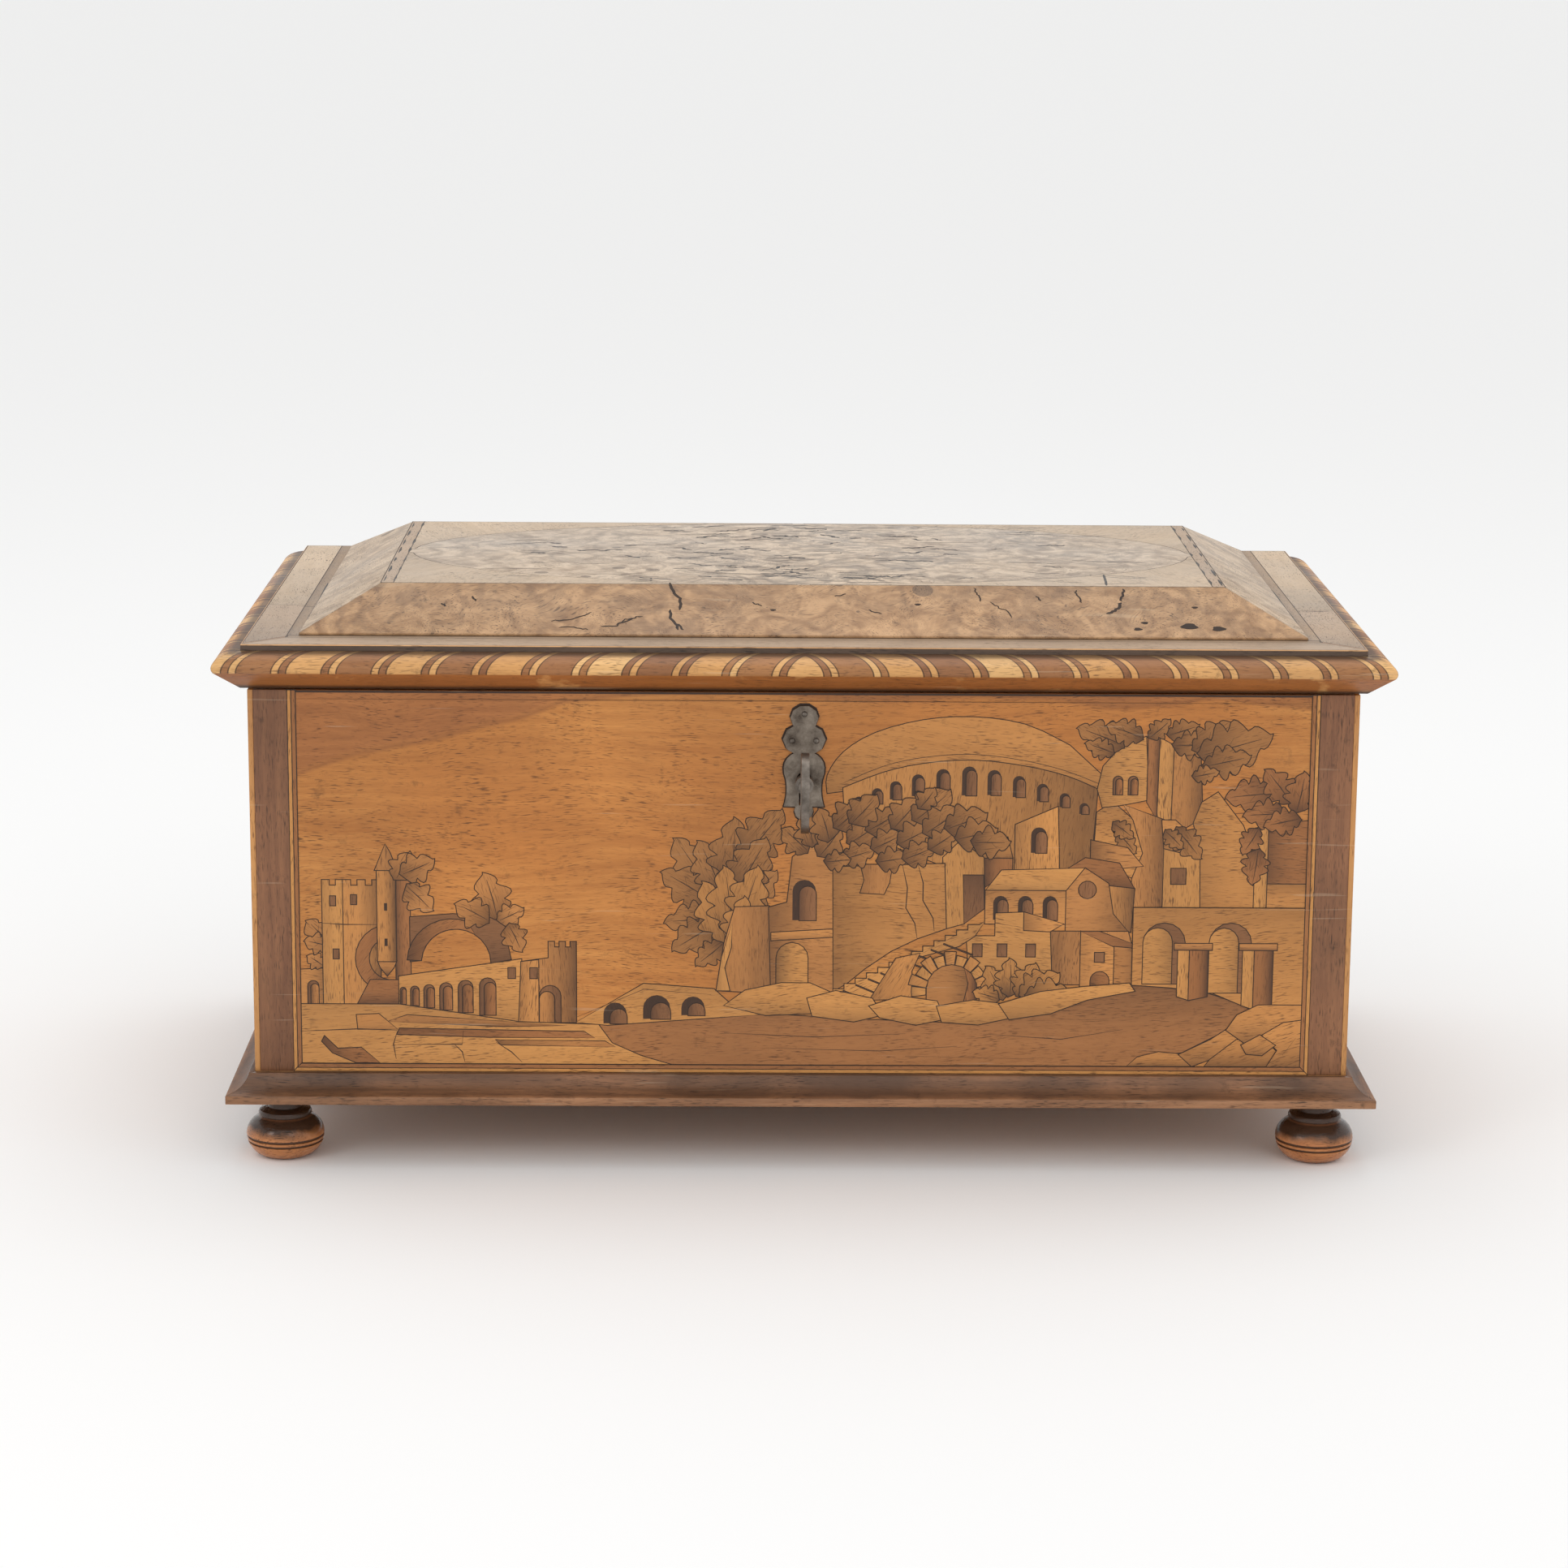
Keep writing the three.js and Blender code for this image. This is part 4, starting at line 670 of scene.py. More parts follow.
piece([(120, 35.5), (120, 51), (130.5, 50), (129, 36)], "tan", 0, ("R", 0.7))
piece(block(112.5, 116, 45, 48.6), "umber", 90)
piece(doorway(111, 118, 35.4, 41), "brown", 0, ("L", 0.6))

# the plain wall and the steps beside it
wall = [(12, 33), (11.5, 82), (54, 83.5), (55, 58), (44, 54), (34, 49), (24, 42), (17, 36)]
piece(wall, "honey", 0, ("L", 0.5))
piece([(22, 83), (23.5, 77), (22, 72), (31, 71.5), (33, 76), (34, 83)], "tan", 90, ("L", 0.5))
for line in (
    ((38, 83), (40, 74), (39.5, 66), (43, 60), (44, 54)),
    ((44, 83), (46, 76), (46, 69), (50, 62), (50.5, 57)),
):
    stroke(line)
steps = [(12, 32)]
for i in range(13):
    steps += [(12 + i * 4.3, 33.6 + i * 2.15), (16.3 + i * 4.3, 33.6 + i * 2.15)]
steps += [(70, 61), (66, 55), (60, 51), (46, 47), (36, 42), (30, 31), (20, 29.5)]
piece(steps, "pale", 20, ("R", 0.3))
for i in range(9):
    x, z = 16 + i * 4.8, 33 + i * 2.35
    stroke([(x, z), (x + 6 + i * 0.6, z - 2.6 - i * 0.2)], 0.2, "umber")
piece([(26, 29.5), (36, 46), (45, 48), (42, 41), (42, 30)], "straw", 60, ("L", 0.5))

# the tunnel mouth in its ring of rough stones, with a bush and the banks
for i in range(11):
    a, b = math.radians(188 - i * 18), math.radians(173 - i * 18)
    deep = 14.8 + 1.4 * (i % 2)
    ring = [(57 + 9.6 * math.cos(t), 33 + 9.2 * math.sin(t)) for t in (a, b)]
    rim = [(57 + deep * math.cos(t), 33 + (deep - 0.5) * math.sin(t)) for t in (b, (a + b) / 2, a)]
    piece(ring + rim, "straw" if i % 2 else "pale", 40 * i, ("L", 0.35))
piece(doorway(48, 67, 27, 43.5), "tan", 0, ("R", 0.75))
piece([(62, 27), (67, 27), (67, 36), (65, 40), (62.5, 42), (64, 36)], "brown", 90, ("R", 0.9))
for shape in (
    (78, 30, 71, 43), (80, 31, 80, 46), (83, 31, 90, 44), (84, 31, 99, 40), (86, 31, 103, 33),
    (76, 30, 66, 33),
):
    leaf(*shape, wide=0.34, lobes=4, tone="leaf", dark=0.9)
banks = [
    [(-30, 27), (-22, 33), (-8, 36), (3, 36), (13, 31.5), (4, 24), (-14, 23.2)],
    [(2, 30), (13, 33), (27, 30), (31, 23.5), (20, 20.8), (4, 23)],
    [(26, 27), (38, 31), (52, 29), (55, 22), (44, 19.6), (30, 22.5)],
    [(52, 27), (66, 29.5), (78, 28), (80, 22.5), (68, 19.8), (54, 20.8)],
    [(76, 28), (92, 33), (108, 35), (126, 36.5), (128, 33.5), (110, 30), (96, 24.5), (80, 22)],
]
for shape in banks:
    piece(shape, "pale", 0, ("B", 0.45))

# the two-arched wall and the rocks at the lower right
wall = [(127, 36), (127, 66.5), (193, 66.5), (193, 27), (172, 27), (158, 33), (142, 35)]
piece(wall, "honey", 0, ("T", 0.3))
for x0, x1, low in ((131, 147, 36.5), (156.5, 172.5, 33)):
    piece(doorway(x0, x1, low, 60.5), "umber", 0, ("L", 0.6))
    piece(doorway(x0, x1 - 5, low, 58.5), "pale", 0, ("R", 0.4))
for x, top, low in ((144.5, 50, 31.5), (169.5, 50, 28)):
    piece([(x, low), (x, top), (x + 4.5, top), (x + 4.5, low - 1.5)], "pale", 90, ("R", 0.2))
    piece([(x + 4.5, low - 1.5), (x + 4.5, top), (x + 11.5, top), (x + 11.5, low)], "brown", 90, ("R", 0.9))
    piece([(x - 1.4, top), (x - 1.4, top + 2.4), (x + 13, top + 2.4), (x + 13, top)], "tan", 0, ("B", 0.6))
rocks = [
    [(126, 3.4), (130, 7), (138, 9), (148, 8), (152, 3.4)],
    [(146, 8), (158, 14), (166, 19.5), (170, 14), (160, 7), (151, 3.4)],
    [(158, 6), (168, 14), (178, 15), (184, 9), (180, 3.4), (156, 3.4)],
    [(164, 18), (168, 24), (176, 28), (193, 28), (193, 22), (180, 16), (171, 13)],
    [(180, 3.4), (184, 10), (178, 16), (186, 21), (193, 22), (193, 3.4)],
    [(170, 12), (177, 16), (183, 12), (178, 8), (172, 8.5)],
]
for shape in rocks:
    piece(shape, "straw", 10, ("B", 0.6))
for line in (((173, 10), (179, 13)), ((174.5, 9), (181, 12)), ((150, 6), (158, 9)), ((186, 8), (191, 15))):
    stroke(line, 0.22)

# the hedge of leaves between the wall and the rotunda
hedge = [
    (2, 88, -8, 97), (4, 90, 0, 103), (6, 86, 14, 97), (10, 92, 6, 105), (12, 97, 24, 108),
    (17, 91, 30, 100), (15, 85, 27, 89), (24, 96, 37, 104), (26, 89, 38, 95), (28, 84, 40, 86),
    (34, 97, 44, 109), (36, 91, 49, 98), (38, 85, 50, 90), (42, 100, 56, 112), (46, 95, 60, 105),
    (48, 89, 58, 96), (54, 97, 70, 103), (58, 93, 74, 97), (64, 92, 79, 92), (44, 105, 50, 113),
    (18, 99, 28, 110), (8, 84, 18, 85),
]
for shape in hedge:
    leaf(*shape, wide=0.36, lobes=3, tone="olive", dark=1.0)

# stringing round the panel: a pale strip at its edge, then a redder one
left, right = -(panel_high.x - panel_low.x) / 2 / MM, (panel_high.x - panel_low.x) / 2 / MM
tall = (rim_z - case_z) / MM
for inset, wide, tone in ((0.15, 1.2, "pale"), (1.7, 1.3, "brown")):
    a, b = inset, inset + wide
    for shape, grain in (
        ([(left + a, a), (left + b, b), (left + b, tall - 0.2), (left + a, tall - 0.2)], 90),
        ([(right - a, a), (right - b, b), (right - b, tall - 0.2), (right - a, tall - 0.2)], 90),
        ([(left + a, a), (right - a, a), (right - b, b), (left + b, b)], 0),
    ):
        piece(shape, tone, grain)
# A dark strip along the top edge of the panel: painted shadow of the gap under the lid.
piece(block(left + 3.2, right - 3.2, tall - 0.9, tall - 0.15), "dark_fill_and_shade")
stroke([(left + 3.2, tall - 3.4), (0, tall - 3.3), (right - 3.2, tall - 3.4)], 0.2)


def grown(points, by):
    """The same outline, larger by the width of the saw cut."""
    out = []
    for before, here, after in zip(points[-1:] + points[:-1], points, points[1:] + points[:1]):
        sides = []
        for (ax, az), (bx, bz) in ((before, here), (here, after)):
            length = max(math.hypot(bx - ax, bz - az), 1e-6)
            sides.append(((bz - az) / length, -(bx - ax) / length))
        (px, pz), (qx, qz) = sides
        scale = by / max(1 + px * qx + pz * qz, 0.6)
        out.append((here[0] + (px + qx) * scale, here[1] + (pz + qz) * scale))
    return out


def sawn(points, low, high):
    """A thin slip of veneer with this outline, as a filled curve."""
    data = bpy.data.curves.new("slip", "CURVE")
    data.dimensions = "2D"
    data.fill_mode = "BOTH"
    data.extrude = (high - low) / 2 * MM
    run = data.splines.new("POLY")
    run.points.add(len(points) - 1)
    for point, (x, z) in zip(run.points, points):
        point.co = (x * MM, z * MM, 0, 1)
    run.use_cyclic_u = True
    slip = bpy.data.objects.new("slip", data)
    bpy.context.scene.collection.objects.link(slip)
    slip.select_set(True)
    bpy.context.view_layer.objects.active = slip
    return slip


def gathered(parts):
    """Joins the parts into the first of them."""
    for part in parts:
        part.select_set(True)
    bpy.context.view_layer.objects.active = parts[0]
    bpy.ops.object.join()
    return parts[0]


def joined(slips, name, material, body):
    """Makes the slips one mesh with closed, outward faces."""
    whole = gathered(slips)
    whole.name = name
    bpy.ops.object.mode_set(mode="EDIT")
    bpy.ops.mesh.select_all(action="SELECT")
    bpy.ops.mesh.remove_doubles(threshold=0.0000002)
    bpy.ops.mesh.normals_make_consistent(inside=False)
    bpy.ops.object.mode_set(mode="OBJECT")
    whole.data.materials.clear()
    whole.data.materials.append(material)
    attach(whole, body)
    return whole


SIDES = {"L": (1, 0), "R": (-1, 0), "T": (0, -1), "B": (0, 1)}


def mark_slip(slip, row):
    """Gives a slip its own tone, its own run of grain and its scorched side."""
    tone = colour(tones[row["tone"]])
    change = random.uniform(0.93, 1.06)
    turn = -math.radians(row["grain"] + random.uniform(-5, 5))
    jump = Vector((random.uniform(-1, 1), random.uniform(-1, 1), random.uniform(-1, 1)))
    side, dark = row["heat"] or ("L", 0.0)
    way = Vector(SIDES[side] if isinstance(side, str) else side)
    x0, x1, z0, z1 = row["box"]
    centre = Vector(((x0 + x1) / 2, (z0 + z1) / 2))
    reach = abs(way.x) * (x1 - x0) / 2 + abs(way.y) * (z1 - z0) / 2
    tone_of = slip.data.attributes.new("tone", "FLOAT_COLOR", "POINT")
    grain_of = slip.data.attributes.new("grain", "FLOAT_VECTOR", "POINT")
    scorch_of = slip.data.attributes.new("scorch", "FLOAT_VECTOR", "POINT")
    for i, vertex in enumerate(slip.data.vertices):
        tone_of.data[i].color = (tone[0] * change, tone[1] * change, tone[2] * change, 1)
        grain_of.data[i].vector = Matrix.Rotation(turn, 3, "Z") @ vertex.co + jump
        from_side = (vertex.co.to_2d() / MM - centre).dot(way) / max(reach, 0.1) * 0.5 + 0.5
        scorch_of.data[i].vector = (from_side, dark, 0)


def place_slips(rows, name, material, kerf, stand, body="case"):
    """stand carries a flat drawing, x to the right and y up, to its face of the box."""
    bpy.ops.object.select_all(action="DESELECT")
    made = []
    for row in rows:
        if kerf and row["tone"] in ("dark_fill_and_shade", "crack"):
            continue
        base = row["layer"] * LAYER
        points = grown(row["points"], KERF) if kerf else row["points"]
        low, high = (base - LAYER, base + LAYER * 0.4) if kerf else (base - LAYER * 0.6, base + LAYER)
        made.append((sawn(points, low, high), row, (low + high) / 2))
    bpy.ops.object.convert(target="MESH")
    for slip, row, middle in made:
        mark_slip(slip, row)
        slip.data.transform(stand @ Matrix.Translation((0, 0, middle * MM)))
    return joined([slip for slip, _, _ in made], name, material, body)


def scorched(node, mix, where):
    tone = node("ShaderNodeAttribute", attribute_name="tone").outputs["Color"]
    scorch = node("ShaderNodeAttribute", attribute_name="scorch").outputs["Vector"]
    split = node("ShaderNodeSeparateXYZ", {0: scorch})
    ragged = noise(node, where, 130.0, 3.0)
    far = plus(node, split.outputs["X"], times(node, ragged, 0.16))
    near = ramp(node, far, 0.06, 0.78, 1.0, 0.0)
    burn = times(node, math_node(node, "POWER", near, 1.35), split.outputs["Y"])
    pale = mix(burn, tone, colour("452d1f"))
    return pale, mix(1.0, pale, (0.8, 0.76, 0.7, 1), "MULTIPLY")


def own_grain(node):
    return node("ShaderNodeAttribute", attribute_name="grain").outputs["Vector"]


veneers = wood(
    "scorched veneers", "", "", "4e2f19", streak=0.0028, curl=0.01, gloss=0.4, base=scorched,
    place=own_grain, shade=(0.9, 1.1), grime=0.3,
)
# The same dark material also makes the painted shadow round the escutcheon.
glue_and_shadow = wood("glue and dust in the saw cuts", "3c291c", "2b1d14", "20150e", gloss=0.6, grime=0.1)
on_front = Matrix.Translation((0, front_y, case_z)) @ Matrix.Rotation(math.radians(90), 4, "X")
place_slips(laid, "front_picture", veneers, False, on_front)
place_slips(laid, "front_picture_lines", glue_and_shadow, True, on_front)

# ---- End panels: the same ground and stringing, with a plain oval and a spray of leaves to each side of
# its middle. They are sawn, scorched and glued as on the front.
case_low, case_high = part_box("left_marquetry_panel")
case_depth = (case_high.y - case_low.y) / MM
middle_y = (case_high.y + case_low.y) / 2
for side, face_x, turn in (("left", case_low.x, -90), ("right", -case_low.x, 90)):
    laid = []
    half, mid = case_depth / 2, tall / 2
    for inset, wide, tone in ((3, 1.2, "pale"), (4.6, 1.3, "brown")):
        a, b = inset, inset + wide
        for shape, grain in (
            ([(a - half, a), (b - half, b), (b - half, tall - b), (a - half, tall - a)], 90),
            ([(half - a, a), (half - b, b), (half - b, tall - b), (half - a, tall - a)], 90),
            ([(a - half, a), (half - a, a), (half - b, b), (b - half, b)], 0),
            ([(a - half, tall - a), (half - a, tall - a), (half - b, tall - b), (b - half, tall - b)], 0),
        ):
            piece(shape, tone, grain)
    piece(arc(0, mid, 74, 0, 352, 44, 0.68), "brown", 0, ("B", 0.4))
    piece(arc(0, mid, 71.5, 0, 352, 44, 0.67), "honey", 0, ("B", 0.25))
    for way in (-1, 1):
        stroke([(0, mid), (way * 22, mid + 3), (way * 52, mid)], 0.7, "umber")
        for i in range(3):
            x = way * (9 + 15 * i)
            leaf(x, mid + 2, x + way * 14, mid + 19 - 4 * i, wide=0.3, tone="leaf", dark=0.9)
            leaf(x, mid + 1, x + way * 14, mid - 16 + 4 * i, wide=0.3, tone="olive", dark=0.9)
        leaf(way * 52, mid, way * 68, mid + 1, wide=0.3, tone="leaf", dark=0.9)
    piece(arc(0, mid + 1, 5.5, 0, 345, 18), "pale", 0, ("B", 0.7))
    stand = (
        Matrix.Translation((face_x, middle_y, case_z))
        @ Matrix.Rotation(math.radians(turn), 4, "Z")
        @ Matrix.Rotation(math.radians(90), 4, "X")
    )
    place_slips(laid, side + "_end_picture", veneers, False, stand)
    place_slips(laid, side + "_end_picture_lines", glue_and_shadow, True, stand)


# ---- Lid board: pine faced with a flat walnut band. Its upper arris is rubbed pale, and the upright faces
# of the step below it, above the nosing, are painted dark as shade.
lid_low, lid_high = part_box("lid_board")
band_walnut = wood("walnut band", "c0a083", "94755a", "4a3426", shade=(0.8, 1.15), grime=0.5)
shaded_step = wood("painted shade in the step", "6a5342", "45362b", "20160f", streak=0.004, grime=0.5)
rubbed = wood("rubbed arris", "e6b47e", "bd8856", "6a4a30", streak=0.004, grime=0.3)
lid_pine = wood("lid, underside", "a67a52", "7d5838", "52361f", streak=0.006, gloss=0.6)
board = eased("lid_board", band_walnut, 0.35, angle=30)
for material in (shaded_step, rubbed, lid_pine):
    board.data.materials.append(material)
for face in board.data.polygons:
    up = face.normal.z
    if up < -0.5:
        face.material_index = 3
    # Upright faces take the dark material: painted shade in the step.
    elif abs(up) < 0.3:
        face.material_index = 1
    elif up < 0.97:
        face.material_index = 2


# ---- Lid nosing: a half-round of light and dark blocks, each pair parted by two thin strips that curve
# over it towards the middle. Below it the board is chamfered and left plain.
nose_low, nose_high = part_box("lid_nosing_front")
NOSE_RADIUS = 0.0052
BLOCK_START, BLOCK_PITCH = 0.0062, 0.0188
STRIP_STARTS = (0.7, 0.85)
nose_middle = nose_high.z - NOSE_RADIUS
nose_foot = nose_middle - NOSE_RADIUS * math.sin(math.radians(21))


def striped(cross_axis, out_axis, edge, sign):
    def tone(node, mix, where):
        split = node("ShaderNodeSeparateXYZ", {0: where}).outputs
        run = unsigned(node, split[cross_axis])
        if cross_axis == "Y":
            run = minus(node, split["Y"], lid_low.y)
        out = times(node, minus(node, split[out_axis], edge), sign / 0.01)
        rise = divided(node, minus(node, split["Z"], nose_middle), NOSE_RADIUS)
        around = math_node(node, "ARCTAN2", rise, out)
        bow = plus(node, around, 0.37)
        lean = times(node, times(node, bow, bow), 0.0026)
        step = divided(node, plus(node, run, plus(node, lean, BLOCK_START)), BLOCK_PITCH)
        part = math_node(node, "FRACT", step)
        count = math_node(node, "FLOOR", step)
        even = math_node(node, "MODULO", count, 2.0)
        strip_a, strip_b = (math_node(node, "GREATER_THAN", part, start) for start in STRIP_STARTS)
        swap = unsigned(node, minus(node, even, strip_a))
        dark = unsigned(node, minus(node, swap, strip_b))
        shade = node("ShaderNodeTexWhiteNoise", {"W": count}, noise_dimensions="1D").outputs[0]
        light_wood = mix(shade, colour("efbf80"), colour("dca363"))
        pale = mix(dark, light_wood, mix(shade, colour("b57f4e"), colour("966440")))
        near = math_node(node, "MINIMUM", part, minus(node, 1.0, part))
        for joint in STRIP_STARTS:
            away = unsigned(node, minus(node, part, joint))
            near = math_node(node, "MINIMUM", near, away)
        pale = mix(ramp(node, near, 0.008, 0.02, 0.85, 0.0), pale, colour("3a2618"))
        wear = noise(node, where, 55.0, 5.0)
        plain = mix(ramp(node, wear, 0.6, 0.68), colour("aa6a35"), colour("e0a868"))
        below = ramp(node, split["Z"], nose_foot - 0.0002, nose_foot + 0.0001, 1.0, 0.0)
        pale = mix(below, pale, plain)
        # Painted shade: the top of the nosing is darkened under the step of the band, and its foot is
        # painted near black as the shadow in the gap under the lid.
        dark_fill_and_shade = ramp(node, split["Z"], nose_high.z - 0.0011, nose_high.z - 0.0003, 0.0, 0.75)
        pale = mix(dark_fill_and_shade, pale, colour("3c2c20"))
        gap = ramp(node, split["Z"], nose_low.z + 0.0006, nose_low.z + 0.002, 0.9, 0.0)
        pale = mix(gap, pale, colour("1c110a"))
        return pale, mix(1.0, pale, (0.72, 0.66, 0.6, 1), "MULTIPLY")

    return tone


def nosing_wood(name, turn, *lie):
    return wood(name, "", "", "4a2d18", turn=turn, streak=0.0022, curl=0.01, base=striped(*lie), grime=0.45)


nosing = nosing_wood("striped nosing", (0, 0, 0), "X", "Y", lid_low.y, -1)
eased("lid_nosing_front", nosing, 0.1, angle=50)
for side, edge, sign in (("left", lid_low.x, -1), ("right", lid_high.x, 1)):
    nosing = nosing_wood("striped nosing, " + side, INWARD, "Y", "X", edge, sign)
    eased("lid_nosing_" + side, nosing, 0.1, angle=50)


# ---- Coffer: four sloping sides and a flat top, veneered in burr walnut that has faded on the top. Two
# plain crossbands close the ends of the top, and plain corners leave an oval of burr between them.
top_low, top_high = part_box("lid_top_panel")
slope_low, slope_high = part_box("lid_slope_front")


def burr_tone(pale_hex, deep_hex, blue):
    def tone(node, mix, where):
        curling = {"Vector": where, "Scale": 62.0, "Detail": 8.0, "Distortion": 2.2}
        curls = node("ShaderNodeTexNoise", curling).outputs["Fac"]
        rings = node(
            "ShaderNodeTexWave",
            {"Vector": where, "Scale": 26.0, "Distortion": 14.0, "Detail": 4.0, "Detail Scale": 1.6},
            rings_direction="SPHERICAL", wave_type="RINGS",
        )
        body = mix(ramp(node, curls, 0.34, 0.62), colour(deep_hex), colour(pale_hex))
        body = mix(ramp(node, rings.outputs["Fac"], 0.0, 0.4, 0.3, 0.0), body, colour("6b503c"))
        eyes = node("ShaderNodeTexVoronoi", {"Vector": where, "Scale": 46.0, "Randomness": 1.0})
        gate = noise(node, where, 15.0, 2.0)
        size = ramp(node, gate, 0.5, 0.7, 0.0, 0.2)
        dots = math_node(node, "LESS_THAN", eyes.outputs["Distance"], size)
        body = mix(times(node, dots, 0.55), body, colour("4c4038"))
        if blue:
            split = node("ShaderNodeSeparateXYZ", {0: where}).outputs
            away = unsigned(node, split["X"])
            drift = times(node, minus(node, gate, 0.5), 0.35)
            core = ramp(node, plus(node, away, drift), 0.0, 0.15, 0.42, 0.0)
            fibre = ramp(node, curls, 0.42, 0.56, 1.0, 0.0)
            body = mix(times(node, core, fibre), body, colour("6d6a69"))
        return body, mix(1.0, body, (0.8, 0.76, 0.72, 1), "MULTIPLY")

    return tone


burr_side = wood(
    "burr walnut", "", "", "3c2a1d", streak=0.006, curl=0.09, gloss=0.36,
    base=burr_tone("cba278", "a17b57", False), grime=0.55,
)
burr_faded = wood(
    "burr walnut, faded", "", "", "4a382a", streak=0.006, curl=0.1, gloss=0.4,
    base=burr_tone("dac5ad", "b9a48d", True), shade=(0.88, 1.1), grime=0.3,
)
burr_end = wood(
    "burr walnut, ends", "", "", "4a382a", turn=INWARD, streak=0.005, curl=0.03, gloss=0.4,
    base=burr_tone("d3bb9f", "b59c80", False), grime=0.3,
)
for side in ("front", "back"):
    eased("lid_slope_" + side, burr_side, 0.25)
for side in ("left", "right"):
    eased("lid_slope_" + side, burr_end, 0.25)
eased("lid_top_panel", burr_faded, 0.2)

tones.update({"band": "bca289", "corner": "cdb69c", "crack": "20160f", "inner": "a48a70"})
faded_veneer = wood(
    "faded veneers", "", "", "4a382a", streak=0.0035, curl=0.02, gloss=0.45, base=scorched, place=own_grain
)
laid = []
half_x, depth = top_high.x / MM, (top_high.y - top_low.y) / MM
CROSSBAND = 4.6
oval_x, oval_y = half_x - CROSSBAND - 1.5, depth / 2 - 0.8


def mirrored(sign, points):
    return [(sign * x, z) for x, z in points]


for sx in (-1, 1):
    inner = half_x - CROSSBAND
    shape = [(half_x, 0.3), (half_x, depth - 0.3), (inner, depth - 0.3), (inner, 0.3)]
    piece(mirrored(sx, shape), "band", 90)
    inner = half_x - CROSSBAND - 0.35
    for sy in (-1, 1):
        turns = [math.radians(a) for a in range(4, 90, 5)]
        curve = [(oval_x * math.cos(t), depth / 2 + sy * oval_y * math.sin(t)) for t in turns]
        edge = depth / 2 + sy * (depth / 2 - 0.4)
        shape = [(inner, depth / 2 + sy * 3)] + curve + [(curve[-1][0], edge), (inner, edge)]
        piece(mirrored(sx, shape), "corner", 60 * sx * sy, ("B" if sy > 0 else "T", 0.25))
random.seed(11)


def crack(x, z, length, turn, width, wander=0.5, steps=9):
    """A split in the veneer: a jagged line that widens in its middle."""
    points = [(x, z)]
    for i in range(steps):
        way = turn + random.uniform(-wander, wander)
        x, z = x + length / steps * math.cos(way), z + length / steps * math.sin(way)
        points.append((x, z))
    stroke(points, width, "crack")


any_of = random.uniform
for _ in range(90):
    x, z = random.gauss(-2, 45), any_of(10, depth - 10)
    crack(x, z, any_of(5, 18), any_of(-0.5, 0.5), any_of(0.8, 1.9), 1.2)
for _ in range(60):
    x, z = any_of(-130, 122), any_of(4, depth - 6)
    crack(x, z, any_of(8, 30), any_of(-0.2, 0.2), any_of(0.5, 0.9), 0.5)
for sx in (-1, 1):
    for x in (sx * (half_x - CROSSBAND), sx * (half_x - 0.7)):
        for i in range(7):
            y0, y1 = 3 + i * depth / 7 + any_of(0, 5), (i + 1) * depth / 7 - any_of(2, 7)
            stroke([(x, y0), (x + 0.15, (y0 + y1) / 2), (x, y1)], any_of(0.6, 1.3), "crack")
crack(118, 2, 26, math.radians(88), 1.0, 0.05)
on_top = Matrix.Translation((0, top_low.y, top_high.z))
place_slips(laid, "lid_top_veneers", faded_veneer, False, on_top, "lid")
place_slips(laid, "lid_top_veneer_joints", glue_and_shadow, True, on_top, "lid")

# Cracks and knocks in the front slope.
laid = []
SLOPE_FOOT = 0.001
slope_run, slope_rise = slope_high.y - slope_low.y, top_high.z - (slope_low.z + SLOPE_FOOT)
slope_turn = math.atan2(slope_rise, slope_run)
for x, z, length, turn, width in (
    (-52, 33.5, 19, -88, 1.0), (-51.5, 16, 14, -84, 0.9), (-50.5, 9, 8, -45, 0.6),
    (66, 31, 10, -70, 0.45), (72, 22, 14, -40, 0.35), (124, 31, 9, -92, 0.8), (123, 22, 11, -128, 1.1),
    (106, 30, 9, -95, 0.5), (-97, 8, 17, 14, 0.4), (-78, 5, 16, 36, 0.5), (-72, 6, 13, 32, 0.4),
    (-94, 4, 12, -4, 0.35), (-128, 24, 4, -60, 0.6), (-140, 19, 3, -40, 0.6), (12, 25, 5, 20, 0.4),
    (30, 14, 6, 160, 0.4), (-20, 21, 5, -20, 0.4), (90, 26, 4, -50, 0.5),
):
    crack(x, z, length, math.radians(turn), width + 0.2, 0.75, 10)
for x, z, radius in (
    (148, 7, 3.2), (159, 5.5, 2.6), (131, 9, 1.4), (128, 5, 1.6), (151, 19, 1.2), (-12, 16, 1.1),
    (44, 20, 1.2),
):
    knot = []
    for i in range(15):
        t = math.radians(24 * i)
        reach = radius * (1 + 0.25 * math.sin(3 * t + x))
        knot.append((x + reach * math.cos(t), z + 0.6 * radius * math.sin(t)))
    piece(knot, "dark_fill_and_shade", 0)
slope_start = (0, slope_low.y, slope_low.z + SLOPE_FOOT)
on_slope = Matrix.Translation(slope_start) @ Matrix.Rotation(slope_turn, 4, "X")
place_slips(laid, "lid_slope_cracks", glue_and_shadow, False, on_slope, "lid")

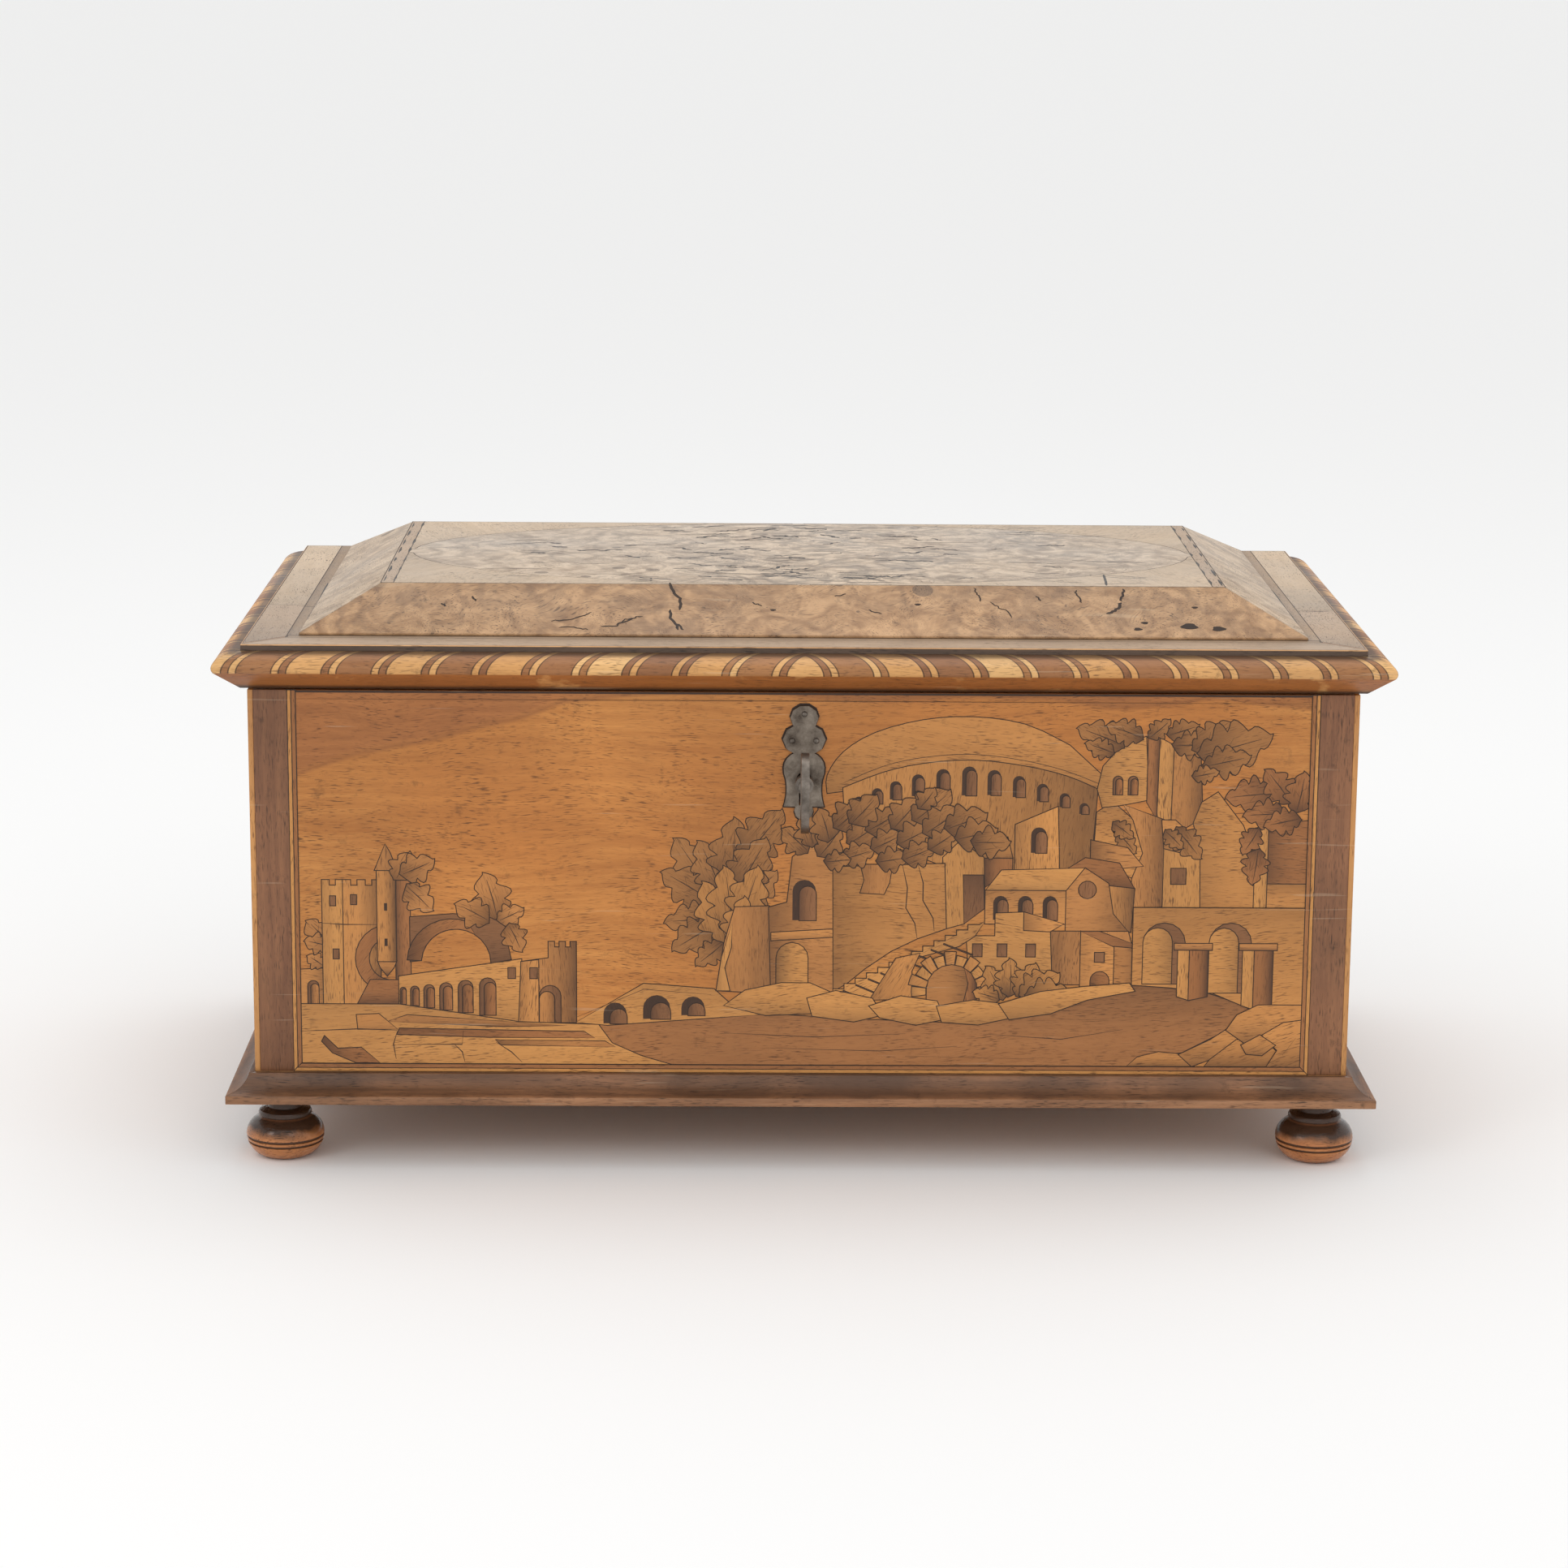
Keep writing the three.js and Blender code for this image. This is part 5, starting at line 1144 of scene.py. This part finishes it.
# The flat band is pieced: a strip along the coffer's foot at each end, and mitres at the front corners.
laid = []
foot_x, foot_y = slope_high.x / MM, (slope_low.y - lid_low.y) / MM
board_x, board_y = lid_high.x / MM, (lid_high.y - lid_low.y) / MM
near, outer, back_end = foot_x + 4.8, board_x - 0.8, board_y - 1
for sx in (-1, 1):
    strip = block(foot_x + 0.2, foot_x + 4.6, foot_y - 4, back_end)
    piece(mirrored(sx, strip), "inner", 90, ("L", 0.3))
    for shape, tone in (
        ([(near, foot_y - 2), (outer, 3.4), (outer, 88), (near, 86)], "band"),
        ([(near, 86.2), (outer, 88.2), (outer, back_end), (near, back_end)], "corner"),
    ):
        piece(mirrored(sx, shape), tone, 90, ("B", 0.3))
    crack(sx * (foot_x + 0.4), 50, 90, math.radians(90), 0.9, 0.02)
    crack(sx * (foot_x + 6), 84, 12, math.radians(4), 0.7, 0.3)
end_x, end_y = foot_x + 4.2, foot_y - 4.4
front_band = [(0.8 - board_x, 0.9), (outer, 0.9), (end_x, end_y), (-end_x, end_y)]
piece(front_band, "band", 0, ("T", 0.3))
piece(block(-foot_x - 4, foot_x + 4, foot_y - 4.2, foot_y - 0.2), "inner", 0, ("T", 0.7))
on_band = Matrix.Translation((0, lid_low.y, lid_high.z))
place_slips(laid, "lid_band_veneers", faded_veneer, False, on_band, "lid")
place_slips(laid, "lid_band_joints", glue_and_shadow, True, on_band, "lid")


# ---- Feet: walnut buns turned on a lathe with two grooves cut round them, a collar and a neck. Their
# colour is darker above the middle, with dark rings in the grooves and at the neck.
FOOT_PROFILE = (
    (7, 0), (9.9, 0.5), (11.7, 1.6), (13.1, 3.0), (14.1, 4.6), (14.6, 5.7), (14.1, 5.9), (14.1, 6.5),
    (14.85, 6.7), (15.0, 7.6), (14.5, 7.8), (14.5, 8.4), (15.1, 8.7), (15.0, 10.0), (14.6, 11.4),
    (13.9, 12.7), (12.8, 14.0), (11.4, 15.1), (10.0, 15.8), (9.7, 16.1), (10.3, 16.6), (10.3, 17.5),
    (9.9, 18.3), (8.6, 18.9), (6.7, 19.5), (6.5, 21.5), (6.9, 25.6),
)


def turned_piece(name, profile, centre, sides=64):
    """Turned work: a disc drawn up ring by ring to a profile of radius and height, in millimetres."""
    bpy.ops.object.select_all(action="DESELECT")
    radius, height = profile[0]
    bpy.ops.mesh.primitive_circle_add(
        vertices=sides, radius=radius * MM, fill_type="NGON",
        location=(centre[0], centre[1], centre[2] + height * MM),
    )
    made = bpy.context.object
    made.name = name
    bpy.ops.object.transform_apply(location=True)
    bpy.ops.object.mode_set(mode="EDIT")
    bpy.ops.mesh.select_all(action="SELECT")
    for next_radius, next_height in profile[1:]:
        bpy.ops.mesh.extrude_region_move(
            TRANSFORM_OT_translate={"value": (0, 0, (next_height - height) * MM)}
        )
        scale = next_radius / radius
        bpy.ops.transform.resize(value=(scale, scale, 1), center_override=centre)
        radius, height = next_radius, next_height
    bpy.ops.mesh.select_all(action="SELECT")
    bpy.ops.mesh.normals_make_consistent(inside=False)
    bpy.ops.object.mode_set(mode="OBJECT")
    bpy.ops.object.shade_smooth_by_angle(angle=math.radians(38))
    return made


GROOVES, BEAD, BLACK_FROM = (0.0062, 0.0081), 0.0159, (0.0092, 0.0125)


# The colour turns dark above the middle of the foot, with dark rings at the two grooves and at the neck.
def darker_above(node, mix, where):
    height = node("ShaderNodeSeparateXYZ", {0: where}).outputs["Z"]
    patch = noise(node, where, 120.0, 4.0)
    level = plus(node, height, times(node, minus(node, patch, 0.5), 0.006))
    dark = ramp(node, level, *BLACK_FROM)
    pale = mix(dark, colour("cf8a55"), colour("4b3528"))
    for groove in GROOVES:
        near = unsigned(node, minus(node, height, groove))
        pale = mix(ramp(node, near, 0.00035, 0.0005, 0.85, 0.0), pale, colour("2c1c13"))
    bead = unsigned(node, minus(node, height, BEAD))
    pale = mix(ramp(node, bead, 0.0002, 0.0004, 0.6, 0.0), pale, colour("8a5a3c"))
    return pale, mix(1.0, pale, (0.62, 0.55, 0.5, 1), "MULTIPLY")


foot_wood = wood("turned walnut", "", "", "20140c", gloss=0.17, base=darker_above, grime=0.45)
for row in ("front", "back"):
    for side in ("left", "right"):
        node_name = f"foot_{row}_{side}"
        low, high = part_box(node_name)
        centre = ((low.x + high.x) / 2, (low.y + high.y) / 2, low.z)
        foot = turned_piece(node_name + "_piece", FOOT_PROFILE, centre)
        foot.data.materials.append(foot_wood)
        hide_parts(node_name)
        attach(foot, "case")


# ---- Metal: iron for the lock and hinges, steel for the arbors and comb, brass for the plates and wheels.
# The iron was forged and filed and has pitted; the steel and the brass were turned or planed, and shine.
def metal(name, light, dark, gloss, grain=(1, 1, 1), tarnish=0.3, pitted=0.12):
    material, tree, shader = new_material(name)
    node = chain(tree)
    mix = mixer(node)
    where = node("ShaderNodeTexCoord").outputs["Object"]
    brushed = node("ShaderNodeVectorMath", {0: where, 1: grain}, operation="MULTIPLY").outputs[0]
    lines = node("ShaderNodeTexNoise", {"Vector": brushed, "Scale": 900.0, "Detail": 3.0})
    age = node("ShaderNodeTexNoise", {"Vector": where, "Scale": 130.0, "Detail": 7.0, "Roughness": 0.7})
    spots = ramp(node, age.outputs["Fac"], 0.36, 0.72)
    body = mix(spots, colour(light), colour(dark))
    rough = ramp(node, age.outputs["Fac"], 0.3, 0.7, gloss, gloss + tarnish)
    height = plus(node, times(node, lines.outputs["Fac"], 0.4), age.outputs["Fac"])
    bump = node("ShaderNodeBump", {"Height": height, "Strength": pitted, "Distance": 0.0003})
    look = {"Base Color": body, "Roughness": rough, "Metallic": 1.0, "Normal": bump.outputs[0]}
    set_inputs(tree, shader, look)
    return material


iron = metal("old iron", "8f8478", "4e443c", 0.42, tarnish=0.2, pitted=0.5)
key_iron = metal("handled iron", "8b8279", "4f4740", 0.28, tarnish=0.25, pitted=0.3)
steel = metal("blued steel", "a9adb1", "6a6d72", 0.22, (0.05, 1, 1), 0.2)
brass = metal("lacquered brass", "c9a35a", "8a6a35", 0.22, (0.05, 1, 1), 0.25)
eased("escutcheon", iron, 0.35, 2)
# A dark, flattened copy of the plate, a little larger, lies behind it: a painted shadow round the plate.
plate_low, plate_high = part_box("escutcheon")
shadow = copied("escutcheon", "escutcheon_shadow", glue_and_shadow)
bpy.ops.object.mode_set(mode="OBJECT")
middle = (plate_low + plate_high) / 2
middle.y = front_y
SHADOW_SPREAD = (1.07, 0.1, 1.035, 1)
wide = Matrix.Diagonal(SHADOW_SPREAD)
shadow.data.transform(Matrix.Translation(middle) @ wide @ Matrix.Translation(-middle))
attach(shadow, "case")
for node_name in ("lock_case", "lock_staple"):
    eased(node_name, iron, 0.25)
eased("key", key_iron, 0.7, 3, angle=50)
for side in ("left", "right"):
    eased("hinge_case_leaf_" + side, iron, 0.12)
    eased("hinge_lid_leaf_" + side, iron, 0.12)
for node_name in (
    "lock_bolt", "comb", "cylinder_arbor", "mainspring", "barrel_arbor", "ratchet_click",
    "winding_lever", "fly",
):
    eased(node_name, steel, 0.08, 1)
for node_name in (
    "bedplate", "comb_riser", "arbor_bearing_left", "arbor_bearing_right", "barrel_bracket_left",
    "barrel_bracket_right", "great_wheel", "tune_cylinder", "spring_barrel", "barrel_cover",
    "governor_frame", "governor_wheel", "start_stop_lever", "change_lever",
):
    eased(node_name, brass, 0.1, 1)


# ---- Nails and screws: round-headed iron nails in the escutcheon, slotted screws in the hinges, the
# movement and the lock case. Each screw was turned, slotted with a saw and driven home by hand.
def set_in(made, material, body, turn=None, place=(0, 0, 0)):
    if turn:
        made.data.transform(turn)
    made.data.transform(Matrix.Translation(place))
    made.data.materials.append(material)
    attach(made, body)


FACING_FRONT = Matrix.Rotation(math.radians(90), 4, "X")
FACING_BACK = Matrix.Rotation(math.radians(-90), 4, "X")
NAIL = ((1.15, -1.0), (1.15, 0.0), (1.0, 0.35), (0.6, 0.62), (0.15, 0.7))
for i, (x, z) in enumerate(((0, -3.2), (-4.6, -13.5), (4.6, -13.5), (0, -41.8))):
    nail = turned_piece(f"escutcheon_nail_{i + 1}", NAIL, (0, 0, 0), 20)
    set_in(nail, key_iron, "case", FACING_FRONT, (x * MM, plate_low.y, plate_high.z + z * MM))

bpy.ops.object.select_all(action="DESELECT")
SCREW = ((2.0, -0.6), (2.0, 0.05), (1.7, 0.45), (1.0, 0.62), (0.2, 0.66))
SLOT_SIZE, SLOT_UP = (0.005, 0.0005, 0.0009), 0.0007
screw = turned_piece("screw", SCREW, (0, 0, 0), 24)
bpy.ops.mesh.primitive_cube_add(size=1, location=(0, 0, SLOT_UP))
slot_cutter = bpy.context.object
slot_cutter.scale = SLOT_SIZE
bpy.ops.object.transform_apply(scale=True, location=True)
cutting = screw.modifiers.new("slot", "BOOLEAN")
cutting.object = slot_cutter
cutting.operation = "DIFFERENCE"
bpy.context.view_layer.objects.active = screw
bpy.ops.object.modifier_apply(modifier="slot")
bpy.data.objects.remove(slot_cutter)
screw_shape = screw.data.copy()
bpy.data.objects.remove(screw)
random.seed(7)


def drive_screws(name, places, material, body, facing=None, size=1.0):
    """Sets copies of the screw, each with its slot another way round, as one piece."""
    bpy.ops.object.select_all(action="DESELECT")
    heads = []
    for place in places:
        head = bpy.data.objects.new(name, screw_shape.copy())
        bpy.context.scene.collection.objects.link(head)
        head.data.transform(Matrix.Rotation(random.uniform(0, math.pi), 4, "Z") @ Matrix.Scale(size, 4))
        if facing:
            head.data.transform(facing)
        head.data.transform(Matrix.Translation(place))
        heads.append(head)
    whole = gathered(heads)
    whole.data.materials.append(material)
    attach(whole, body)


LEAF, IN, SECOND_ROW, LID_IN = 0.0015, 0.006, 0.019, 0.005
for side in ("left", "right"):
    low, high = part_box("hinge_case_leaf_" + side)
    back = low.y + LEAF
    rows = [(x, back, low.z + IN) for x in (low.x + IN, (low.x + high.x) / 2, high.x - IN)]
    rows += [(x, back, low.z + SECOND_ROW) for x in (low.x + IN, high.x - IN)]
    drive_screws("hinge_case_screws_" + side, rows, iron, "case", FACING_BACK)
    low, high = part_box("hinge_lid_leaf_" + side)
    rows = [(x, back, high.z - LID_IN) for x in (low.x + IN, (low.x + high.x) / 2, high.x - IN)]
    drive_screws("hinge_lid_screws_" + side, rows, iron, "lid", FACING_BACK)

PLATE_IN, COMB_IN, COMB_SCREWS = 0.012, 0.008, 6
comb_low, comb_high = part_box("comb")
gap = (comb_high.x - comb_low.x - 2 * PLATE_IN) / (COMB_SCREWS - 1)
rows = [(comb_low.x + PLATE_IN + i * gap, comb_low.y + COMB_IN, comb_high.z) for i in range(COMB_SCREWS)]
drive_screws("comb_screws", rows, steel, "case", None, 1.5)
bed_low, bed_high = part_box("bedplate")
SUNK = 0.00005
plate_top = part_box("comb_riser")[0].z - SUNK
bed_ends = (bed_low.x + PLATE_IN, bed_high.x - PLATE_IN)
bed_sides = (bed_low.y + PLATE_IN, bed_high.y - PLATE_IN)
rows = [(x, y, plate_top) for x in bed_ends for y in bed_sides]
drive_screws("bedplate_screws", rows, steel, "case", None, 1.9)
lock_low, lock_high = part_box("lock_case")
LOCK_IN = 0.005
heights = (lock_low.z + LOCK_IN, lock_high.z - LOCK_IN)
rows = [(x, lock_high.y, z) for x in (lock_low.x + LOCK_IN, lock_high.x - LOCK_IN) for z in heights]
drive_screws("lock_rivets", rows, iron, "case", FACING_BACK)

# ---- Cylinder pins: steel wires driven into the brass drum in rings, four rings to a tooth of the comb,
# one for each tune, and ground level.
drum_low, drum_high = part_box("tune_cylinder")
drum_y, drum_z = (drum_low.y + drum_high.y) / 2, (drum_low.z + drum_high.z) / 2
drum_radius = (drum_high.z - drum_low.z) / 2
bpy.ops.object.select_all(action="DESELECT")
WIRE_RADIUS, WIRE_LENGTH, WIRE_UP = 0.0003, 0.0013, 0.0001
bpy.ops.mesh.primitive_cylinder_add(
    vertices=4, radius=WIRE_RADIUS, depth=WIRE_LENGTH, location=(0, 0, drum_radius + WIRE_UP)
)
pin = bpy.context.object
bpy.ops.object.transform_apply(location=True)
pin_shape = pin.data.copy()
bpy.data.objects.remove(pin)
TEETH, PINS_EACH, TUNES = 60, 16, 4
DRUM_END = 0.001
BARE = 0.16  # half the turn that is left without pins where the comb rests
pitch_x = (drum_high.x - drum_low.x - 2 * DRUM_END) / TEETH
comb_turn = math.pi / 2  # the comb touches the drum on its front, a quarter turn from the top
pins = []
for tooth in range(TEETH):
    for beat in range(PINS_EACH):
        angle = random.uniform(BARE, 2 * math.pi - BARE) + comb_turn
        x = drum_low.x + DRUM_END + (tooth + 0.25 + 0.5 * (beat % TUNES) / TUNES) * pitch_x
        wire = bpy.data.objects.new("cylinder_pins", pin_shape.copy())
        bpy.context.scene.collection.objects.link(wire)
        wire.data.transform(Matrix.Translation((x, drum_y, drum_z)) @ Matrix.Rotation(angle, 4, "X"))
        pins.append(wire)
all_pins = gathered(pins)
all_pins.data.materials.append(steel)
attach(all_pins, "cylinder")
